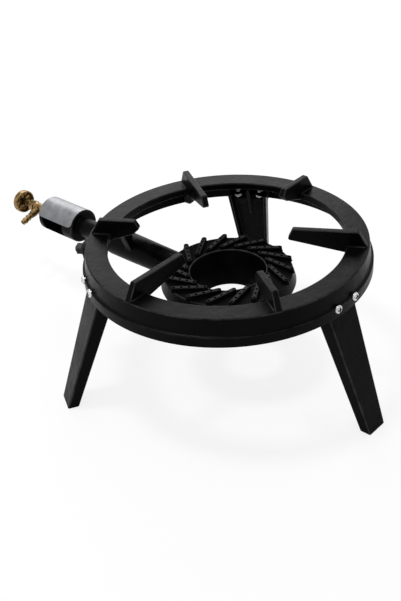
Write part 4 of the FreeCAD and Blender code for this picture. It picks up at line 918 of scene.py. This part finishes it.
# the head with its soot, the bead and the bars; along the tube the tube, the chamber's end and
# shell; and the yoke's post and arm
def makeBurner():
    b = burner
    section = roundCorners(b["section"], b["rounds"], 6)
    points, faces = turned(section, upright, 192)
    middle = points[faces].mean(1)
    reach = np.hypot(middle[:, 0], middle[:, 1])
    low, high = b["sootRing"]
    sooted = (middle[:, 2] > b["sootAbove"]) & (reach > low) & (reach < high)
    angle = np.linspace(0, 2 * np.pi, 17)[:-1]
    hoop = b["beadAt"] + b["bead"] * np.stack([np.cos(angle), np.sin(angle)], -1)
    parts = [(points, faces, sooted), turned(hoop, upright, 192)] + bars()
    tube = [(0, b["tubeStart"]), (20.5, b["tubeStart"])] + b["tube"] + b["tubeInside"]
    rounds = [0, 0.5] + b["tubeRounds"] + [0] * len(b["tubeInside"])
    parts.append(lathe(tube, rounds, alongTube, 96, 8))
    parts.append(turned(roundCorners(b["end"], b["endRounds"], 6), alongTube, 96))
    parts.append(chamberShell())
    post = roundCorners(b["post"], b["postRounds"], 5)
    parts.append(plate(post, b["postHalf"], 1.6, lambda flat, across: np.stack(
        [b["postAt"] + across + 0 * flat[:, 0], flat[:, 0], flat[:, 1]], -1)))
    parts.append(turned(roundCorners(b["arm"], 1.6, 5), upright, 48, arc=b["yokeArc"]))
    makePiece("burnerCasting", parts, (casting, soot), "stove", "black_casting",
              "burner_casting")


makeBurner()

print("stage: air shutter")

shutter = {
    "along": (311.0, 388.5),
    "inside": 27.35,
    "wall": 1.0,
    "near": 15.5,  # above the level on the near side
    "arc": 190.0,
    "corner": 9.0,
}


# the rolled sheet: distance along the tube against arc; towards a free edge the inner end draws
# back by the corner's quarter circle; an inner and an outer skin are joined round the border
def makeShutter():
    s = shutter
    first, last = s["along"]
    share = np.linspace(0, 1, 81)
    angle = np.radians(180 - s["near"] - s["arc"] * share)
    toEdge = np.minimum(share, 1 - share) * np.radians(s["arc"]) * s["inside"]
    short = np.clip(s["corner"] - toEdge, 0, s["corner"])
    start = first + s["corner"] - np.sqrt(s["corner"] ** 2 - short ** 2)
    u = np.linspace(0, 1, 25)[:, None]
    along = start * (1 - u) + last * u
    layers = []
    for depth in (0.0, s["wall"]):
        radius = s["inside"] + depth
        layers.append(np.stack([-along, radius * np.cos(angle) + 0 * along,
                                tubeHeight + radius * np.sin(angle) + 0 * along], -1))
    rows, cols = along.shape
    total = rows * cols
    quads = gridFaces(rows, cols)
    rim = gridRim(rows, cols)
    after = np.roll(rim, -1)
    border = np.stack([after, rim, rim + total, after + total], -1)
    points = np.concatenate([layers[0].reshape(-1, 3), layers[1].reshape(-1, 3)])
    part = outward(points, np.concatenate([quads, quads[:, ::-1] + total, border[:, ::-1]]))
    makePiece("airShutterSheet", [part], sheet, "air_shutter", "galvanised_sheet",
              "air_shutter", sharp=40)


makeShutter()

print("stage: valve")

valve = {
    "body": [(2.2, 384.5), (7.0, 384.5), (7.0, 399), (9.5, 399), (9.5, 402), (8.0, 402.6),
             (8.0, 428), (6.6, 428.4), (6.6, 435), (4.7, 435), (4.7, 411), (2.2, 411)],
    "bodyRounds": [0.2, 0.4, 0.3, 0.8, 0.8, 0.4, 1.2, 0.4, 0.5, 0.3, 0.2, 0.2],
    "branch": [(0, 4.75), (6.4, 4.75), (6.4, 15), (4.5, 15), (0, 15)],
    "branchRounds": [0, 0.2, 0.9, 0.3, 0],
    "branchAt": 419.5,
    "branchDown": 16.0,
    "barbs": [(0, 9), (4.2, 9), (4.2, 15.05), (6.2, 15.05), (6.2, 18), (4.3, 18.6), (5.4, 20.4),
              (5.4, 21.6), (4.3, 22.4), (5.4, 27.2), (5.4, 28.6), (4.3, 29.4), (5.4, 34.2),
              (5.4, 35.6), (4.4, 36.6), (4.6, 40.2), (4.2, 41), (2.6, 41), (2.6, 20), (0, 20)],
    "barbRounds": [0, 0.2, 0.2, 0.7, 0.7, 0.8, 0.5, 0.5, 0.8, 0.5, 0.5, 0.8, 0.5, 0.5, 0.8,
                   0.3, 0.3, 0.3, 0.3, 0],
    "gland": (17.0, 428.3, 438.8, 3.1),  # across flats, start, end and bore
    "rod": [(0, 413.6), (3, 413.6), (3, 467.3), (2.35, 467.3), (2.35, 471.65), (0, 471.65)],
    "rodRounds": [0, 0.3, 0.2, 0.2, 0.6, 0],
    "wheelNut": (8.0, 467.3, 470.9, 2.4),
    "jet": [(0, 377), (1.4, 377), (2.9, 378.4), (3, 382.4), (5, 382.6), (5, 387), (0, 387)],
    "jetRounds": [0, 0.3, 0.3, 0.2, 0.6, 0.2, 0],
    "wheel": (455.3, 467.3, 19.3),  # start and end of the rim, and its radius
    "wheelRounds": [0.3, 0.9, 1.2, 1.5, 1.0, 1.0, 3.0, 1.2, 1.5, 0.3],
    "web": 3.2,
    "hub": 5.5,
    "hubFrom": 449.3,
    "bore": 3.02,
    "spokes": 5,
    "spokeReach": (4.6, 17.2),
    "spokeHalf": 2.3,
    "spokeRise": 2.6,
}


# the branch's axes: out of the valve's side, tilted down
def branchAxes():
    lean = np.radians(valve["branchDown"])
    out = np.array([0, -np.cos(lean), -np.sin(lean)])
    return (np.array([-valve["branchAt"], 0, tubeHeight]), np.array([-1.0, 0, 0]),
            np.cross(out, [-1.0, 0, 0]), out)


# the cup wheel: one turned profile of rim, web and hub, and ribs on the web from hub to rim
def wheelParts():
    v = valve
    low, high, radius = v["wheel"]
    web = high - v["web"]
    cup = roundCorners([(v["bore"], v["hubFrom"]), (v["hub"], v["hubFrom"]), (v["hub"] + 1, web),
                        (16.4, web), (17.0, low), (radius - 0.6, low), (radius, low + 6),
                        (radius - 0.9, high - 2), (radius - 3, high), (v["bore"], high)],
                       v["wheelRounds"], 6)
    parts = [turned(cup, alongTube, 96)]
    centre, e1, e2, e3 = (np.asarray(a, float) for a in alongTube)
    (inner, outer), half = v["spokeReach"], v["spokeHalf"]
    for degrees in np.arange(v["spokes"]) * 360 / v["spokes"] + 90:
        angle = np.radians(degrees)
        along = np.cos(angle) * e1 + np.sin(angle) * e2
        side = -np.sin(angle) * e1 + np.cos(angle) * e2
        outline = roundCorners([(inner, -half - 0.5), (outer, -half), (outer, half),
                                (inner, half + 0.5)], 0.4, 3)

        def place(flat, across, along=along, side=side):
            depth = web + across
            return centre + flat[:, :1] * along + flat[:, 1:] * side + depth * e3
        parts.append(plate(outline, v["spokeRise"], 1.2, place))
    return parts


# the valve's pieces, the jet among them: turned profiles, but for the nuts' hexagons
def makeValve():
    v = valve
    for name, parts, body, node in (
            ("valveBodyBrass", [turned(roundCorners(v["body"], v["bodyRounds"], 5), alongTube, 64),
                                lathe(v["branch"], v["branchRounds"], branchAxes(), 48, 5)],
             "stove", "valve_body"),
            ("hoseNozzleBrass", [lathe(v["barbs"], v["barbRounds"], branchAxes(), 48)],
             "stove", "hose_nozzle"),
            ("glandNutBrass", [nut(alongTube, *v["gland"])], "stove", "gland_nut"),
            ("spindleBrass", [lathe(v["rod"], v["rodRounds"], alongTube, 40)],
             "valve_spindle", "spindle"),
            ("handwheelBrass", wheelParts(), "valve_spindle", "handwheel"),
            ("wheelNutBrass", [nut(alongTube, *v["wheelNut"], 48)],
             "valve_spindle", "handwheel_nut"),
            ("injectorJetBrass", [lathe(v["jet"], v["jetRounds"], alongTube, 40)],
             "stove", "injector_jet")):
        makePiece(name, parts, brass, body, "brass", node)


makeValve()

for node in ("spindle_packing", "seat_disc"):
    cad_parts[node].data.materials.clear()
    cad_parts[node].data.materials.append(rubber)

print("stage: floor, light and camera")

studio = {
    "world": 0.72,
    "overhead": (15.0, 0.34, (-0.45, -0.35, 2.1)),  # power, size and place
    "back": (19.0, 1.5, (-1.45, 1.25, 1.3)),
    "floorHalf": 6.0,
    "floorWhite": 0.9,
    "shadowShare": 0.2,
}


# a floor that shows its own diffuse shade for part and plain white for the rest to the camera
def makeFloor():
    mesh = bpy.data.meshes.new("floor")
    half = studio["floorHalf"]
    mesh.from_pydata([(-half, -half, 0), (half, -half, 0), (half, half, 0), (-half, half, 0)],
                     [], [(0, 1, 2, 3)])
    floor = addObject("floor", mesh)
    finish, tree, shader = newFinish("floorPaper")[:3]
    setShader(tree, shader, {}, {
        "Base Color": (studio["floorWhite"],) * 3 + (1,), "Roughness": 0.9,
        "Specular IOR Level": 0.0})
    white = addNode(tree, "ShaderNodeEmission", {"Color": (1, 1, 1, 1), "Strength": 1.0})
    path = addNode(tree, "ShaderNodeLightPath")
    share = addNode(tree, "ShaderNodeMath", {1: 1 - studio["shadowShare"]},
                    {0: path.outputs["Is Camera Ray"]}, operation="MULTIPLY")
    mix = addNode(tree, "ShaderNodeMixShader", links={
        "Fac": share.outputs["Value"], 1: shader.outputs["BSDF"], 2: white.outputs["Emission"]})
    tree.links.new(mix.outputs["Shader"], tree.nodes["Material Output"].inputs["Surface"])
    mesh.materials.append(finish)


makeFloor()


# the world: plain light, and white where the camera sees it
def makeWorld():
    world = bpy.data.worlds.new("studio")
    bpy.context.scene.world = world
    world.use_nodes = True
    tree = world.node_tree
    path = addNode(tree, "ShaderNodeLightPath")
    seen = addNode(tree, "ShaderNodeMath", links={
        0: path.outputs["Is Camera Ray"], 1: path.outputs["Is Glossy Ray"]}, operation="MAXIMUM")
    strength = addNode(tree, "ShaderNodeMapRange", {
        "To Min": studio["world"], "To Max": 1.0}, {"Value": seen.outputs["Value"]})
    back = tree.nodes["Background"]
    back.inputs["Color"].default_value = (1, 1, 1, 1)
    tree.links.new(strength.outputs["Result"], back.inputs["Strength"])


makeWorld()


# a square lamp that looks at the object's middle
def addLamp(name, power, size, at):
    lamp = bpy.data.lights.new(name, "AREA")
    lamp.energy = power
    lamp.size = size
    holder = addObject(name, lamp)
    holder.location = at
    holder.rotation_euler = (Vector((0, 0, 0.15)) - Vector(at)).to_track_quat("-Z", "Y").to_euler()


addLamp("overhead", *studio["overhead"])
addLamp("back", *studio["back"])

view = {
    "at": (0.84671, -0.94153, 0.95143),
    "look": (-0.578191, 0.600914, -0.551904),
    "roll": -0.072,
    "focal": 1037.12,  # in pixels of a picture so many pixels high
    "height": 601,
    "sensor": 36.0,
}


# the camera: its right and up are the level ones turned by the roll about the line of sight
def addCamera():
    data = bpy.data.cameras.new("camera")
    data.sensor_width = view["sensor"]
    data.lens = view["focal"] * view["sensor"] / view["height"]
    data.clip_end = 30.0
    camera = addObject("camera", data)
    look = Vector(view["look"]).normalized()
    level = look.cross(Vector((0, 0, 1))).normalized()
    rise = level.cross(look)
    right = level * np.cos(view["roll"]) + rise * np.sin(view["roll"])
    top = rise * np.cos(view["roll"]) - level * np.sin(view["roll"])
    turn = Matrix((right, top, -look)).transposed()
    camera.matrix_world = Matrix.Translation(view["at"]) @ turn.to_4x4()
    bpy.context.scene.camera = camera


addCamera()
bpy.context.scene.view_settings.view_transform = "Standard"

print("stage: done")
